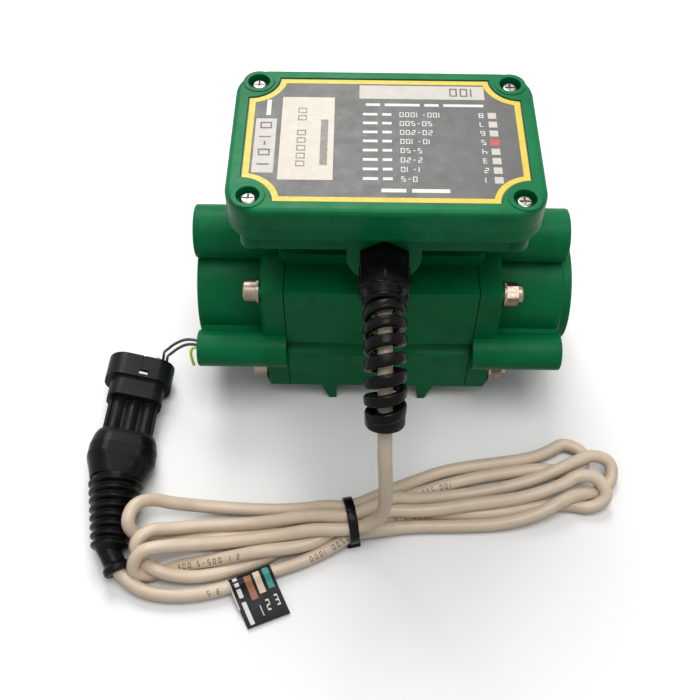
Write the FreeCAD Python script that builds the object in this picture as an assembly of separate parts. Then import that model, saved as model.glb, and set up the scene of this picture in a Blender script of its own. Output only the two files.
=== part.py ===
import FreeCAD, Part
import math
import os
from FreeCAD import Vector as V

# Electromagnetic flow meter for a 1 inch line. Millimetres.
# Pipe frame: X along the pipe, Y to the rear, Z up, origin on the pipe axis in
# the middle of the centre block. Every piece is made there and then moved, so
# that the meter stands on z = 0 with its overall length centred on x = 0.

# Flow path
BORE_R = 12.5            # clear bore
LINER_WALL = 2.5
THREAD_R = 15.15         # crests of the 1 inch pipe thread
THREAD_DEPTH = 19.0
FIT = 0.1                # radial clearance of a seated round piece
# Centre block and end caps
BLOCK_LEN = 74.0
BLOCK_W = 61.5           # square section, flanges too
FLANGE_T = 9.5
FLANGE_CHAMFER = 1.6
PORT_LEN = 26.0          # from flange to end face
PORT_R = 23.25
RING_R = 22.0            # raised end ring of the inlet
RING_LEN = 3.5
ROD_Z = -4.0             # rod line: groove in the block, bores in the lobes
ROD_PROUD = 0.55         # the rod line lies this far outside the block's sides
ROD_LOBE_R = 7.4
ROD_BORE_R = 3.8
GROOVE_R = 4.1
WEB_T = 9.0              # web between port and rod lobe
TOP_LOBE_UP = 0.25       # the top lobe's axis lies this far above the block
TOP_LOBE_R = 10.5
TOP_LOBE_IN = 3.0        # the top lobe starts this far into the flange
TOP_CORE_R = 6.5         # coring of the top lobe
TOP_CORE_DEPTH = 24.0
BULGE_HALF = 30.0        # shallow lens on the front and rear faces
BULGE_OUT = 0.9
BULGE_RISE = 12.0
FOOT_DROP = 9.75
FOOT_IN = 17.4           # inner edge of the foot's sole
FOOT_SOLE = 3.0
FOOT_ROOT_IN = 16.4
FOOT_ROOT_OUT = 23.6
# Tie bolts, M5
BOLT_EDGE = 5.5          # bolt line, in from the block's sides
BOLT_R = 2.5
BOLT_REACH = 5.0         # thread past the far washer
BOLT_HOLE_R = 2.75
BOLT_HEAD_R = 4.25
BOLT_HEAD_H = 5.0
BOLT_KEY = 4.0
WASHER_R = 5.0
WASHER_T = 1.0
NUT_AF = 8.0
NUT_H = 4.5
NUT_COLLAR_R = 3.7
NUT_COLLAR_H = 1.8
# Measuring system
SEAL_R = 18.7            # end seals between block and caps
SEAL_CORD_R = 0.8
SEAL_GROOVE_W = 3.2
SEAL_GROOVE_D = 1.7
ELECTRODE_R = 2.5
ELECTRODE_TAIL_R = 1.5
ELECTRODE_SHOULDER = 17.0
ELECTRODE_END = 21.0
COIL_POCKET_R = 13.0
COIL_FLOOR = 16.5        # pocket floor, measured from the pipe axis
COIL_GAP = 0.25          # between the coil's core and the cover
COIL_CORE_R = 5.0
SPOOL_WALL = 1.0
COVER_X = 30.0
COVER_Y = 42.0
COVER_T = 3.0
COVER_SCREW_X = 12.0
COVER_SCREW_Y = 18.0
COVER_SCREW_HEAD_R = 2.4
COVER_SCREW_HEAD_H = 1.1
COVER_SCREW_R = 1.25
COVER_SCREW_LEN = 7.0
COVER_SCREW_SINK = 2.2
# Electronics housing
PED_OVER = 2.5           # the pedestal plate passes the block's ends by this
PED_Y = 32.0
PED_T = 5.25
PED_CORNER = 4.0
PED_SCREW_IN = 7.0       # from the block's ends
PED_SCREW_Y = 5.0
NECK_IN = 1.0            # from the block's ends
NECK_Y = 26.0
NECK_H = 21.0
NECK_WALL = 3.0
TRAY_IN = 4.0            # step of the lower tray behind the upper one
TRAY_LOW_H = 9.0
TRAY_UP_H = 6.0
LID_H = 8.5
BOX_X = 109.0
BOX_Y = 73.0
BOX_CORNER = 12.0
BOX_WALL = 3.0
LID_TOP = 3.3
LID_EDGE = 2.0
LID_SCREW_X = 46.3
LID_SCREW_Y = 29.15
POST_R = 4.2
CBORE_R = 4.0
CBORE_DEPTH = 3.3
SCREW_HEAD_R = 3.0
SCREW_HEAD_H = 2.2
SCREW_R = 1.4
SCREW_LEN = 13.0
PED_SCREW_SINK = 2.2     # counterbore of the pedestal plate, from inside
LABEL_X = 99.0
LABEL_Y = 63.4
LABEL_NOTCH = 11.0
LABEL_SINK = 0.9
LABEL_T = 0.5
PANEL_GAP = 0.15
SEAL_W = 1.0
SEAL_D = 1.2
# Circuit board
BOARD_X = 82.0
BOARD_Y = 54.0
BOARD_T = 1.6
BOARD_UP = 3.5           # above the tray floor
BOARD_HOLE_X = 36.0
BOARD_HOLE_Y = 22.0
BOARD_POST_R = 2.6
BOARD_SCREW_HEAD_R = 2.1
BOARD_SCREW_HEAD_H = 1.6
BOARD_SCREW_R = 1.1
BOARD_SCREW_LEN = 5.0
CHIP_W = 14.0
CHIP_T = 1.4
DRIVER_X = 10.0
DRIVER_Y = 7.0
DRIVER_T = 2.0
RELAY_X = 8.0
RELAY_Y = 12.0
RELAY_T = 3.5
CAN_R = 3.9
CAN_H = 8.0
CAN_PITCH = 10.0
BIG_CAN_R = 4.6
BIG_CAN_H = 5.0
TERMINAL_X = 18.0
TERMINAL_Y = 8.0
TERMINAL_H = 9.0
TERMINAL_EDGE = 3.0      # from the board's front edge
TERMINAL_PITCH = 6.0
# Cable gland, 17 mm across flats
GLAND_Z = 54.0
BOSS_R = 13.2
BOSS_FRONT = 33.2        # boss face, forward of the pipe axis
BOSS_WALL = 5.2
GLAND_AF = 17.0
GLAND_THREAD_R = 6.0
GLAND_WASHER_T = 0.8
GLAND_HEX_H = 5.2
GLAND_NECK_R = 6.9
GLAND_NECK_H = 10.0
CABLE_R = 2.6
GLAND_BORE_R = 3.4
SEAL_SLEEVE_R = 5.4
CAPNUT_H = 10.0
CAPNUT_COLLAR_H = 5.4
CAPNUT_COLLAR_R = 7.8
SPIRAL_R = 7.6           # outside of the bend spiral at the nut
SPIRAL_END_R = 7.0
SPIRAL_INNER = 4.8
SPIRAL_AXIAL = 2.5       # width of the strip along the cable
SPIRAL_FACE = 4.2        # first crest on top of the bend, from its start
SPIRAL_PITCH = 5.7
SPIRAL_FACETS = 14       # per turn
SPIRAL_CAP_R = 7.1
SPIRAL_CAP_H = 5.4
LOCKNUT_AF = 15.0
LOCKNUT_H = 4.0
# Plug
PLUG_X = -102.7          # middle of the mouth, standing frame
PLUG_MOUTH_Y = -22.6
PLUG_Z = 10.5
PLUG_ROLL = 17.0
PLUG_YAW = 2.5
COLLAR_W = 27.6
COLLAR_T = 16.0
COLLAR_L = 10.5
SHELL_W = 22.6
SHELL_T = 13.0
SHELL_L = 8.8
PLUG_WALL = 1.6
TUBE_L = 19.7
TUBE_R = 3.0
TUBE_BORE = 2.4
PIN_PITCH = 6.3
PIN_R = 1.1
PIN_TIP = 6.0            # pin tips, behind the mouth
RAIL_T = 1.2             # side rails beside the outer tubes
RAIL_H = 5.0
LOCK_FROM = 2.7          # pale retainer in the mouth, beside the axis
LOCK_W = 4.6
LOCK_T = 5.0
BOOT_START = 36.0        # from the mouth
BOOT_FRONT_W = 23.4
BOOT_W = 27.0
BOOT_T = 17.6
BOOT_SHOULDER = 6.5      # length from the front rim to the full width
BOOT_FULL = 4.5
BELLOWS_FROM = 56.0      # from the mouth
BELLOWS_R = 10.8
BELLOWS_END_R = 6.9
BELLOWS_DEPTH = 1.5
BELLOWS_RINGS = 8
BOOT_NECK_R = 4.2
RING_END_R = 5.3
CORD_FIT = 0.1           # between the cable and what it passes through

HALF = BLOCK_W / 2
BLOCK_END = BLOCK_LEN / 2
FLANGE_OUT = BLOCK_END + FLANGE_T
PORT_END = FLANGE_OUT + PORT_LEN
BOLT_OUT = HALF - BOLT_EDGE
BOLT_LEN = BLOCK_LEN + 2 * (FLANGE_T + WASHER_T) + BOLT_REACH
ROD_OUT = HALF + ROD_PROUD
TOP_LOBE_Z = HALF + TOP_LOBE_UP
TOP_LOBE_START = BLOCK_END + TOP_LOBE_IN
COIL_H = HALF - COVER_T - COIL_FLOOR - COIL_GAP
PED_X = BLOCK_LEN + 2 * PED_OVER
PED_SCREW_X = BLOCK_END - PED_SCREW_IN
NECK_X = BLOCK_LEN - 2 * NECK_IN
PED_TOP = HALF + PED_T
TRAY_Z = PED_TOP + NECK_H
STEP_Z = TRAY_Z + TRAY_LOW_H
SPLIT_Z = STEP_Z + TRAY_UP_H
LID_Z = SPLIT_Z + LID_H
TRAY_FLOOR = TRAY_Z + 2.5
BOARD_Z = TRAY_FLOOR + BOARD_UP
# from the pipe frame to the standing frame
STAND = V(-RING_LEN / 2, 0, HALF + FOOT_DROP)
EX, EY, EZ = V(1, 0, 0), V(0, 1, 0), V(0, 0, 1)


def box(x0, x1, y0, y1, z0, z1):
    return Part.makeBox(x1 - x0, y1 - y0, z1 - z0, V(x0, y0, z0))


def cyl(r, start, way, length):
    return Part.makeCylinder(r, length, start, way)


def ring(r_out, r_in, start, way, length):
    return cyl(r_out, start, way, length).cut(cyl(r_in, start - way * 1.0, way, length + 2.0))


def plate(hx, hy, z0, z1, r):
    """Upright prism on a rectangle of half sizes hx, hy with round corners."""
    body = box(-hx, hx, -hy, hy, z0, z1)
    edges = [e for e in body.Edges if abs(e.Vertexes[0].Z - e.Vertexes[1].Z) > 1e-6]
    return body.makeFillet(r, edges) if r > 0 else body


def prism(points, direction):
    wire = Part.makePolygon([V(*p) for p in points] + [V(*points[0])])
    return Part.Face(wire).extrude(direction)


def hexagon(af, start, way, length, up=EZ):
    """Hexagonal bar with one corner towards up."""
    side = way.cross(up)
    r = af / math.sqrt(3)
    pts = [start + up * (r * math.cos(math.radians(a))) + side * (r * math.sin(math.radians(a)))
           for a in range(0, 360, 60)]
    return Part.Face(Part.makePolygon(pts + [pts[0]])).extrude(way * length)


def corners(dx, dy):
    return [(sx * dx, sy * dy) for sx in (-1, 1) for sy in (-1, 1)]


def fuse(shapes):
    out = shapes[0].multiFuse(shapes[1:]) if len(shapes) > 1 else shapes[0]
    return out.removeSplitter()


# Centre block
def meter_body():
    body = box(-BLOCK_END, BLOCK_END, -HALF, HALF, -HALF, HALF)
    foot = [(FOOT_ROOT_IN, -HALF + 1.0), (FOOT_ROOT_IN, -HALF), (FOOT_IN, -HALF - 2.0),
            (FOOT_IN, -HALF - FOOT_DROP), (FOOT_IN + FOOT_SOLE, -HALF - FOOT_DROP),
            (FOOT_ROOT_OUT, -HALF), (FOOT_ROOT_OUT, -HALF + 1.0)]
    parts = [body]
    for s in (1, -1):
        parts.append(prism([(s * x, -HALF, z) for x, z in foot], V(0, BLOCK_W, 0)))
    # lens: a very large upright drum, drafted both ways from the rod line
    drum = (BULGE_HALF ** 2 + BULGE_OUT ** 2) / (2 * BULGE_OUT)
    for s in (1, -1):
        centre = V(0, s * (HALF + BULGE_OUT - drum), ROD_Z)
        cone_up = Part.makeCone(drum, drum - BULGE_OUT, BULGE_RISE, centre, EZ)
        cone_dn = Part.makeCone(drum, drum - BULGE_OUT, BULGE_RISE, centre, V(0, 0, -1))
        y0, y1 = sorted((s * (HALF - 0.5), s * (HALF + BULGE_OUT + 0.5)))
        slab = box(-BULGE_HALF - 1, BULGE_HALF + 1, y0, y1, ROD_Z - BULGE_RISE, ROD_Z + BULGE_RISE)
        parts.append(slab.common(cone_up.fuse(cone_dn)))
    body = fuse(parts)
    cuts = [cyl(BORE_R + LINER_WALL + FIT, V(-BLOCK_END - 1, 0, 0), EX, BLOCK_LEN + 2)]
    for s in (1, -1):
        cuts.append(cyl(GROOVE_R, V(-BLOCK_END - 1, s * ROD_OUT, ROD_Z), EX, BLOCK_LEN + 2))
        cuts.append(cyl(COIL_POCKET_R, V(0, 0, s * COIL_FLOOR), V(0, 0, s), HALF - COIL_FLOOR + 1))
        cuts.append(cyl(ELECTRODE_R + FIT, EY * (s * 10.0), EY * s, ELECTRODE_SHOULDER + FIT - 10.0))
        cuts.append(cyl(ELECTRODE_TAIL_R + FIT, EY * (s * 10.0), EY * s, ELECTRODE_END + FIT - 10.0))
    cuts.append(box(-COVER_X / 2 - FIT, COVER_X / 2 + FIT, -COVER_Y / 2 - FIT, COVER_Y / 2 + FIT,
                    -HALF - 1, -HALF + COVER_T))
    for x, y in corners(COVER_SCREW_X, COVER_SCREW_Y):
        cuts.append(cyl(COVER_SCREW_R + FIT, V(x, y, -HALF), EZ,
                        COVER_SCREW_HEAD_H + COVER_SCREW_LEN + 1.1))
    for x, y in corners(PED_SCREW_X, PED_SCREW_Y):
        cuts.append(cyl(SCREW_R + FIT, V(x, y, PED_TOP - PED_SCREW_SINK - SCREW_LEN - 2.25), EZ, SCREW_LEN))
    for x, y in corners(BOLT_OUT, BOLT_OUT):
        cuts.append(cyl(BOLT_HOLE_R, V(-BLOCK_END - 1, x, y), EX, BLOCK_LEN + 2))
    return body.cut(fuse(cuts[:1]).multiFuse(cuts[1:]))


# End caps
def end_cap(side, with_ring):
    way = EX * side

    def at(x, y=0.0, z=0.0):
        return V(side * x, y, z)

    x0, x1 = sorted((side * BLOCK_END, side * FLANGE_OUT))
    flange = box(x0, x1, -HALF, HALF, -HALF, HALF)
    rim = [e for e in flange.Edges
           if all(abs(v.X - side * FLANGE_OUT) < 1e-6 for v in e.Vertexes)]
    flange = flange.makeChamfer(FLANGE_CHAMFER, rim)
    port = cyl(PORT_R, at(BLOCK_END), way, PORT_END - BLOCK_END)
    port = port.makeFillet(1.0, [e for e in port.Edges
                                 if abs(e.CenterOfMass.x - side * PORT_END) < 1e-6
                                 and e.Curve.TypeId == 'Part::GeomCircle'])
    parts = [flange, port]
    if with_ring:
        collar = cyl(RING_R, at(PORT_END - 2.0), way, RING_LEN + 2.0)
        collar = collar.makeFillet(0.6, [e for e in collar.Edges
                                         if abs(e.CenterOfMass.x - side * (PORT_END + RING_LEN)) < 1e-6
                                         and e.Curve.TypeId == 'Part::GeomCircle'])
        parts.append(collar)
    for s in (1, -1):
        lobe = cyl(ROD_LOBE_R, at(BLOCK_END, s * ROD_OUT, ROD_Z), way, PORT_END - BLOCK_END)
        lobe = lobe.makeFillet(0.8, [e for e in lobe.Edges
                                     if abs(e.CenterOfMass.x - side * PORT_END) < 1e-6
                                     and e.Curve.TypeId == 'Part::GeomCircle'])
        parts.append(lobe)
        y0, y1 = sorted((s * (PORT_R - 4.0), s * ROD_OUT))
        w0, w1 = sorted((side * BLOCK_END, side * (PORT_END - 0.8)))
        parts.append(box(w0, w1, y0, y1, ROD_Z - WEB_T / 2, ROD_Z + WEB_T / 2))
    top = cyl(TOP_LOBE_R, at(TOP_LOBE_START, 0, TOP_LOBE_Z), way, PORT_END - TOP_LOBE_START)
    top = top.makeFillet(0.8, [e for e in top.Edges
                               if abs(e.CenterOfMass.x - side * PORT_END) < 1e-6
                               and e.Curve.TypeId == 'Part::GeomCircle'])
    parts.append(top)
    cap = fuse(parts)
    end = PORT_END + (RING_LEN if with_ring else 0.0)
    cuts = [cyl(BORE_R, at(BLOCK_END - 1), way, PORT_LEN + FLANGE_T + RING_LEN + 2),
            cyl(THREAD_R, at(end - THREAD_DEPTH), way, THREAD_DEPTH + 1),
            Part.makeCone(THREAD_R, THREAD_R + 1.5, 1.5, at(end - 1.2), way),
            ring(SEAL_R + SEAL_GROOVE_W / 2, SEAL_R - SEAL_GROOVE_W / 2,
                 at(BLOCK_END - 1.0), way, SEAL_GROOVE_D + 1.0),
            cyl(TOP_CORE_R, at(PORT_END - TOP_CORE_DEPTH, 0, TOP_LOBE_Z), way, TOP_CORE_DEPTH + 1)]
    for s in (1, -1):
        cuts.append(cyl(ROD_BORE_R, at(BLOCK_END - 1, s * ROD_OUT, ROD_Z), way, PORT_END - BLOCK_END + 2))
    for y, z in corners(BOLT_OUT, BOLT_OUT):
        cuts.append(cyl(BOLT_HOLE_R, at(BLOCK_END - 1, y, z), way, FLANGE_T + 2))
    for cut in cuts:
        cap = cap.cut(cut)
    return cap.removeSplitter()


def port_seals():
    return Part.makeCompound([Part.makeTorus(SEAL_R, SEAL_CORD_R,
                                             V(s * (BLOCK_END + SEAL_CORD_R + 0.05), 0, 0), EX)
                              for s in (-1, 1)])


# Fasteners
def tie_bolts():
    seat = -FLANGE_OUT - WASHER_T
    out = []
    for y, z in corners(BOLT_OUT, BOLT_OUT):
        head = cyl(BOLT_HEAD_R, V(seat - BOLT_HEAD_H, y, z), EX, BOLT_HEAD_H)
        head = head.makeChamfer(0.4, [e for e in head.Edges
                                      if abs(e.CenterOfMass.x - (seat - BOLT_HEAD_H)) < 1e-6
                                      and e.Curve.TypeId == 'Part::GeomCircle'])
        head = head.cut(hexagon(BOLT_KEY, V(seat - BOLT_HEAD_H - 1, y, z), EX, 3.5))
        shank = cyl(BOLT_R, V(seat - 0.5, y, z), EX, BOLT_LEN + 0.5)
        out.append(head.fuse(shank).removeSplitter())
    return Part.makeCompound(out)


def bolt_washers():
    out = []
    for y, z in corners(BOLT_OUT, BOLT_OUT):
        for x in (-FLANGE_OUT - WASHER_T, FLANGE_OUT):
            out.append(ring(WASHER_R, BOLT_R + 0.2, V(x, y, z), EX, WASHER_T))
    return Part.makeCompound(out)


def lock_nuts():
    out = []
    x = FLANGE_OUT + WASHER_T
    for y, z in corners(BOLT_OUT, BOLT_OUT):
        nut = hexagon(NUT_AF, V(x, y, z), EX, NUT_H)
        r = NUT_AF / math.sqrt(3)
        dome = Part.makeCone(r + NUT_H, NUT_AF / 2, r + NUT_H - NUT_AF / 2, V(x, y, z), EX)
        nut = nut.common(dome)
        collar = cyl(NUT_COLLAR_R, V(x + NUT_H - 0.5, y, z), EX, NUT_COLLAR_H + 0.5)
        collar = collar.makeFillet(0.6, [e for e in collar.Edges
                                         if abs(e.CenterOfMass.x - (x + NUT_H + NUT_COLLAR_H)) < 1e-6
                                         and e.Curve.TypeId == 'Part::GeomCircle'])
        nut = nut.fuse(collar).cut(cyl(BOLT_R + 0.05, V(x - 1, y, z), EX, NUT_H + NUT_COLLAR_H + 2))
        out.append(nut.removeSplitter())
    return Part.makeCompound(out)


def cross_screw(head_r, head_h, r, length, top):
    """Pan head screw pointing down, crown of the head at top, with a cross recess."""
    head = cyl(head_r, top - EZ * head_h, EZ, head_h)
    crown = [e for e in head.Edges if abs(e.CenterOfMass.z - top.z) < 1e-6
             and e.Curve.TypeId == 'Part::GeomCircle']
    head = head.makeFillet(min(head_h * 0.55, head_r * 0.5), crown)
    screw = head.fuse(cyl(r, top - EZ * (head_h + length), EZ, length + 0.2))
    arm, wide, deep = head_r * 0.62, head_r * 0.2, head_h * 0.5
    for hx, hy in ((arm, wide / 2), (wide / 2, arm)):
        screw = screw.cut(box(top.x - hx, top.x + hx, top.y - hy, top.y + hy,
                              top.z - deep, top.z + 1))
    return screw.removeSplitter()


# Measuring system
def flow_liner():
    tube = ring(BORE_R + LINER_WALL, BORE_R, V(-BLOCK_END, 0, 0), EX, BLOCK_LEN)
    return tube.cut(cyl(ELECTRODE_R + FIT, V(0, -HALF, 0), EY, BLOCK_W))


def electrodes():
    out = []
    for s in (1, -1):
        pin = cyl(ELECTRODE_R, EY * (s * (BORE_R - 0.3)), EY * s, ELECTRODE_SHOULDER - BORE_R + 0.3)
        tail = cyl(ELECTRODE_TAIL_R, EY * (s * ELECTRODE_SHOULDER), EY * s,
                   ELECTRODE_END - ELECTRODE_SHOULDER)
        out.append(pin.fuse(tail).removeSplitter())
    return Part.makeCompound(out)


def coil_spools():
    out = []
    inner = COIL_CORE_R + FIT
    for s in (1, -1):
        way = EZ * s
        base = way * (COIL_FLOOR + 0.0)
        barrel = ring(inner + SPOOL_WALL, inner, base, way, COIL_H)
        low = ring(COIL_POCKET_R - 2 * FIT, inner, base, way, SPOOL_WALL)
        high = ring(COIL_POCKET_R - 2 * FIT, inner, base + way * (COIL_H - SPOOL_WALL), way, SPOOL_WALL)
        out.append(fuse([barrel, low, high]))
    return Part.makeCompound(out)


def coil_windings():
    out = []
    for s in (1, -1):
        way = EZ * s
        out.append(ring(COIL_POCKET_R - 0.8, COIL_CORE_R + SPOOL_WALL + 2 * FIT,
                        way * (COIL_FLOOR + SPOOL_WALL + FIT), way, COIL_H - 2 * SPOOL_WALL - 2 * FIT))
    return Part.makeCompound(out)


def coil_cores():
    return Part.makeCompound([cyl(COIL_CORE_R, EZ * (s * COIL_FLOOR), EZ * s, COIL_H) for s in (1, -1)])


def coil_cover():
    cover = box(-COVER_X / 2, COVER_X / 2, -COVER_Y / 2, COVER_Y / 2, -HALF, -HALF + COVER_T)
    for x, y in corners(COVER_SCREW_X, COVER_SCREW_Y):
        cover = cover.cut(cyl(COVER_SCREW_R + FIT, V(x, y, -HALF - 1), EZ, COVER_T + 2))
        cover = cover.cut(cyl(COVER_SCREW_HEAD_R + FIT, V(x, y, -HALF - 1), EZ, COVER_SCREW_SINK))
    return cover


def cover_screws():
    out = []
    for x, y in corners(COVER_SCREW_X, COVER_SCREW_Y):
        screw = cross_screw(COVER_SCREW_HEAD_R, COVER_SCREW_HEAD_H, COVER_SCREW_R,
                            COVER_SCREW_LEN, V(x, y, 0))
        screw.rotate(V(x, y, 0), EX, 180)
        screw.translate(V(0, 0, -HALF + 0.1))
        out.append(screw)
    return Part.makeCompound(out)


# Electronics housing
def box_base():
    up_x, up_y = BOX_X / 2, BOX_Y / 2
    low_x, low_y = up_x - TRAY_IN, up_y - TRAY_IN
    plate_low = plate(PED_X / 2, PED_Y / 2, HALF, PED_TOP, PED_CORNER)
    neck = plate(NECK_X / 2, NECK_Y / 2, PED_TOP - 1, TRAY_Z + 1, PED_CORNER)
    low = plate(low_x, low_y, TRAY_Z, STEP_Z + 1, BOX_CORNER - TRAY_IN)
    low = low.makeFillet(1.2, [e for e in low.Edges
                               if abs(e.CenterOfMass.z - TRAY_Z) < 1e-6])
    upper = plate(up_x, up_y, STEP_Z, SPLIT_Z, BOX_CORNER)
    upper = upper.makeFillet(1.2, [e for e in upper.Edges
                                   if abs(e.CenterOfMass.z - STEP_Z) < 1e-6])
    boss_back = -NECK_Y / 2 + 1.0
    boss = cyl(BOSS_R, V(0, -BOSS_FRONT, GLAND_Z), EY, BOSS_FRONT + boss_back)
    boss_up = box(-BOSS_R, BOSS_R, -BOSS_FRONT, boss_back, GLAND_Z, STEP_Z + 0.5)
    base = fuse([plate_low, neck, low, upper, boss, boss_up])
    room = plate(low_x - BOX_WALL, low_y - BOX_WALL, TRAY_FLOOR, SPLIT_Z + 1, BOX_CORNER - TRAY_IN - BOX_WALL)
    room_up = plate(up_x - BOX_WALL, up_y - BOX_WALL, STEP_Z + 2.0, SPLIT_Z + 1, BOX_CORNER - BOX_WALL)
    well = plate(NECK_X / 2 - NECK_WALL, NECK_Y / 2 - NECK_WALL, PED_TOP - PED_SCREW_SINK, TRAY_FLOOR + 1, 2.0)
    boss_room = cyl(BOSS_R - BOSS_WALL + 1.0, V(0, -BOSS_FRONT + BOSS_WALL, GLAND_Z), EY,
                    BOSS_FRONT - BOSS_WALL - NECK_Y / 2 + NECK_WALL + 1)
    base = base.cut(room.fuse(room_up)).cut(well).cut(boss_room)
    base = base.cut(cyl(GLAND_THREAD_R + FIT, V(0, -BOSS_FRONT - 1, GLAND_Z), EY, BOSS_WALL + 2))
    base = base.cut(cyl(COIL_POCKET_R - 3.0, V(0, 0, HALF - 1), EZ, PED_T + 1))
    posts = []
    for x, y in corners(LID_SCREW_X, LID_SCREW_Y):
        posts.append(cyl(POST_R, V(x, y, TRAY_Z + 1.5), EZ, SPLIT_Z - TRAY_Z - 1.5))
    for x, y in corners(BOARD_HOLE_X, BOARD_HOLE_Y):
        posts.append(cyl(BOARD_POST_R, V(x, y, TRAY_FLOOR - 0.5), EZ, BOARD_UP + 0.5))
    base = base.multiFuse(posts)
    for x, y in corners(LID_SCREW_X, LID_SCREW_Y):
        base = base.cut(cyl(SCREW_R + FIT, V(x, y, TRAY_Z + 3.0), EZ, 20))
    for x, y in corners(BOARD_HOLE_X, BOARD_HOLE_Y):
        base = base.cut(cyl(BOARD_SCREW_R + FIT, V(x, y, BOARD_Z + BOARD_T - BOARD_SCREW_LEN - 0.1), EZ,
                            BOARD_SCREW_LEN))
    for x, y in corners(PED_SCREW_X, PED_SCREW_Y):
        base = base.cut(cyl(SCREW_R + 0.2, V(x, y, HALF - 1), EZ, PED_T + 1))
    groove = seal_frame(SEAL_W + 2 * FIT, SEAL_D + FIT, SPLIT_Z - SEAL_D - FIT)
    return base.cut(groove).removeSplitter()


def seal_frame(width, depth, z0):
    mid_x, mid_y = BOX_X / 2 - BOX_WALL / 2, BOX_Y / 2 - BOX_WALL / 2
    outer = plate(mid_x + width / 2, mid_y + width / 2, z0, z0 + depth, BOX_CORNER - BOX_WALL / 2 + width / 2)
    inner = plate(mid_x - width / 2, mid_y - width / 2, z0 - 1, z0 + depth + 1,
                  BOX_CORNER - BOX_WALL / 2 - width / 2)
    return outer.cut(inner)


def label_outline(shrink, z0, z1):
    """Rectangle whose corners are cut back round the screw bosses."""
    hx, hy = LABEL_X / 2 - shrink, LABEL_Y / 2 - shrink
    body = box(-hx, hx, -hy, hy, z0, z1)
    for x, y in corners(LABEL_X / 2, LABEL_Y / 2):
        body = body.cut(cyl(LABEL_NOTCH + shrink, V(x, y, z0 - 1), EZ, z1 - z0 + 2))
    return body


def box_lid():
    hx, hy = BOX_X / 2, BOX_Y / 2
    lid = plate(hx, hy, SPLIT_Z, LID_Z, BOX_CORNER)
    lid = lid.makeFillet(LID_EDGE, [e for e in lid.Edges if abs(e.CenterOfMass.z - LID_Z) < 1e-6])
    room = plate(hx - BOX_WALL, hy - BOX_WALL, SPLIT_Z - 1, LID_Z - LID_TOP, BOX_CORNER - BOX_WALL)
    lid = lid.cut(room)
    for x, y in corners(LID_SCREW_X, LID_SCREW_Y):
        lid = lid.fuse(cyl(POST_R + 0.8, V(x, y, SPLIT_Z), EZ, LID_H - LID_EDGE))
        bead = ring(CBORE_R + 1.7, CBORE_R, V(x, y, LID_Z - 0.5), EZ, 0.8)
        lid = lid.fuse(bead)
    lid = lid.cut(label_outline(0.0, LID_Z - LABEL_SINK, LID_Z + 1))
    for x, y in corners(LID_SCREW_X, LID_SCREW_Y):
        lid = lid.cut(cyl(CBORE_R, V(x, y, LID_Z - CBORE_DEPTH), EZ, CBORE_DEPTH + 1))
        lid = lid.cut(cyl(SCREW_R + 0.2, V(x, y, SPLIT_Z - 1), EZ, LID_H))
    return lid.removeSplitter()


def lid_screws():
    top = LID_Z - CBORE_DEPTH + SCREW_HEAD_H
    return Part.makeCompound([cross_screw(SCREW_HEAD_R, SCREW_HEAD_H, SCREW_R, SCREW_LEN, V(x, y, top))
                              for x, y in corners(LID_SCREW_X, LID_SCREW_Y)])


def label_plate():
    z0 = LID_Z - LABEL_SINK
    return label_outline(PANEL_GAP, z0, z0 + LABEL_T)


def lid_seal():
    return seal_frame(SEAL_W, SEAL_D, SPLIT_Z - SEAL_D)


def pedestal_screws():
    top = PED_TOP - PED_SCREW_SINK + SCREW_HEAD_H
    return Part.makeCompound([cross_screw(SCREW_HEAD_R, SCREW_HEAD_H, SCREW_R, SCREW_LEN, V(x, y, top))
                              for x, y in corners(PED_SCREW_X, PED_SCREW_Y)])


def circuit_board():
    board = box(-BOARD_X / 2, BOARD_X / 2, -BOARD_Y / 2, BOARD_Y / 2, BOARD_Z, BOARD_Z + BOARD_T)
    for x, y in corners(BOARD_HOLE_X, BOARD_HOLE_Y):
        board = board.cut(cyl(BOARD_SCREW_R + FIT, V(x, y, BOARD_Z - 1), EZ, BOARD_T + 2))
    return board


def board_screws():
    top = BOARD_Z + BOARD_T + BOARD_SCREW_HEAD_H
    return Part.makeCompound([cross_screw(BOARD_SCREW_HEAD_R, BOARD_SCREW_HEAD_H, BOARD_SCREW_R,
                                          BOARD_SCREW_LEN, V(x, y, top))
                              for x, y in corners(BOARD_HOLE_X, BOARD_HOLE_Y)])


def board_parts():
    z = BOARD_Z + BOARD_T
    left, rear = -BOARD_X / 2, BOARD_Y / 2
    chip = box(-CHIP_W / 2, CHIP_W / 2, -CHIP_W / 2 + 2, CHIP_W / 2 + 2, z, z + CHIP_T)
    driver = box(CHIP_W, CHIP_W + DRIVER_X, 2, 2 + DRIVER_Y, z, z + DRIVER_T)
    relay = box(left + 15, left + 15 + RELAY_X, -RELAY_Y, 0, z, z + RELAY_T)
    out = [chip, driver, relay]
    for x in (CHIP_W + 2, CHIP_W + 2 + CAN_PITCH):
        out.append(cyl(CAN_R, V(x, -9, z), EZ, CAN_H))
    out.append(cyl(BIG_CAN_R, V(left + 13, rear - 16, z), EZ, BIG_CAN_H))
    return Part.makeCompound(out)


def terminal_block():
    z = BOARD_Z + BOARD_T
    front = -BOARD_Y / 2 + TERMINAL_EDGE
    middle = front + TERMINAL_Y / 2
    block = box(-TERMINAL_X / 2, TERMINAL_X / 2, front, front + TERMINAL_Y, z, z + TERMINAL_H)
    for x in (-TERMINAL_PITCH, 0, TERMINAL_PITCH):
        block = block.cut(cyl(1.8, V(x, middle, z + 4.0), EZ, TERMINAL_H - 3))
        block = block.cut(box(x - 1.6, x + 1.6, front - 1, front + 3, z + 1.5, z + 4.5))
    return block


# Cable gland
FRONT = V(0, -1, 0)


def gland_point(forward, z=0.0):
    """Point on the gland axis, forward of the boss face."""
    return V(0, -BOSS_FRONT - forward, GLAND_Z + z)


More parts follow.
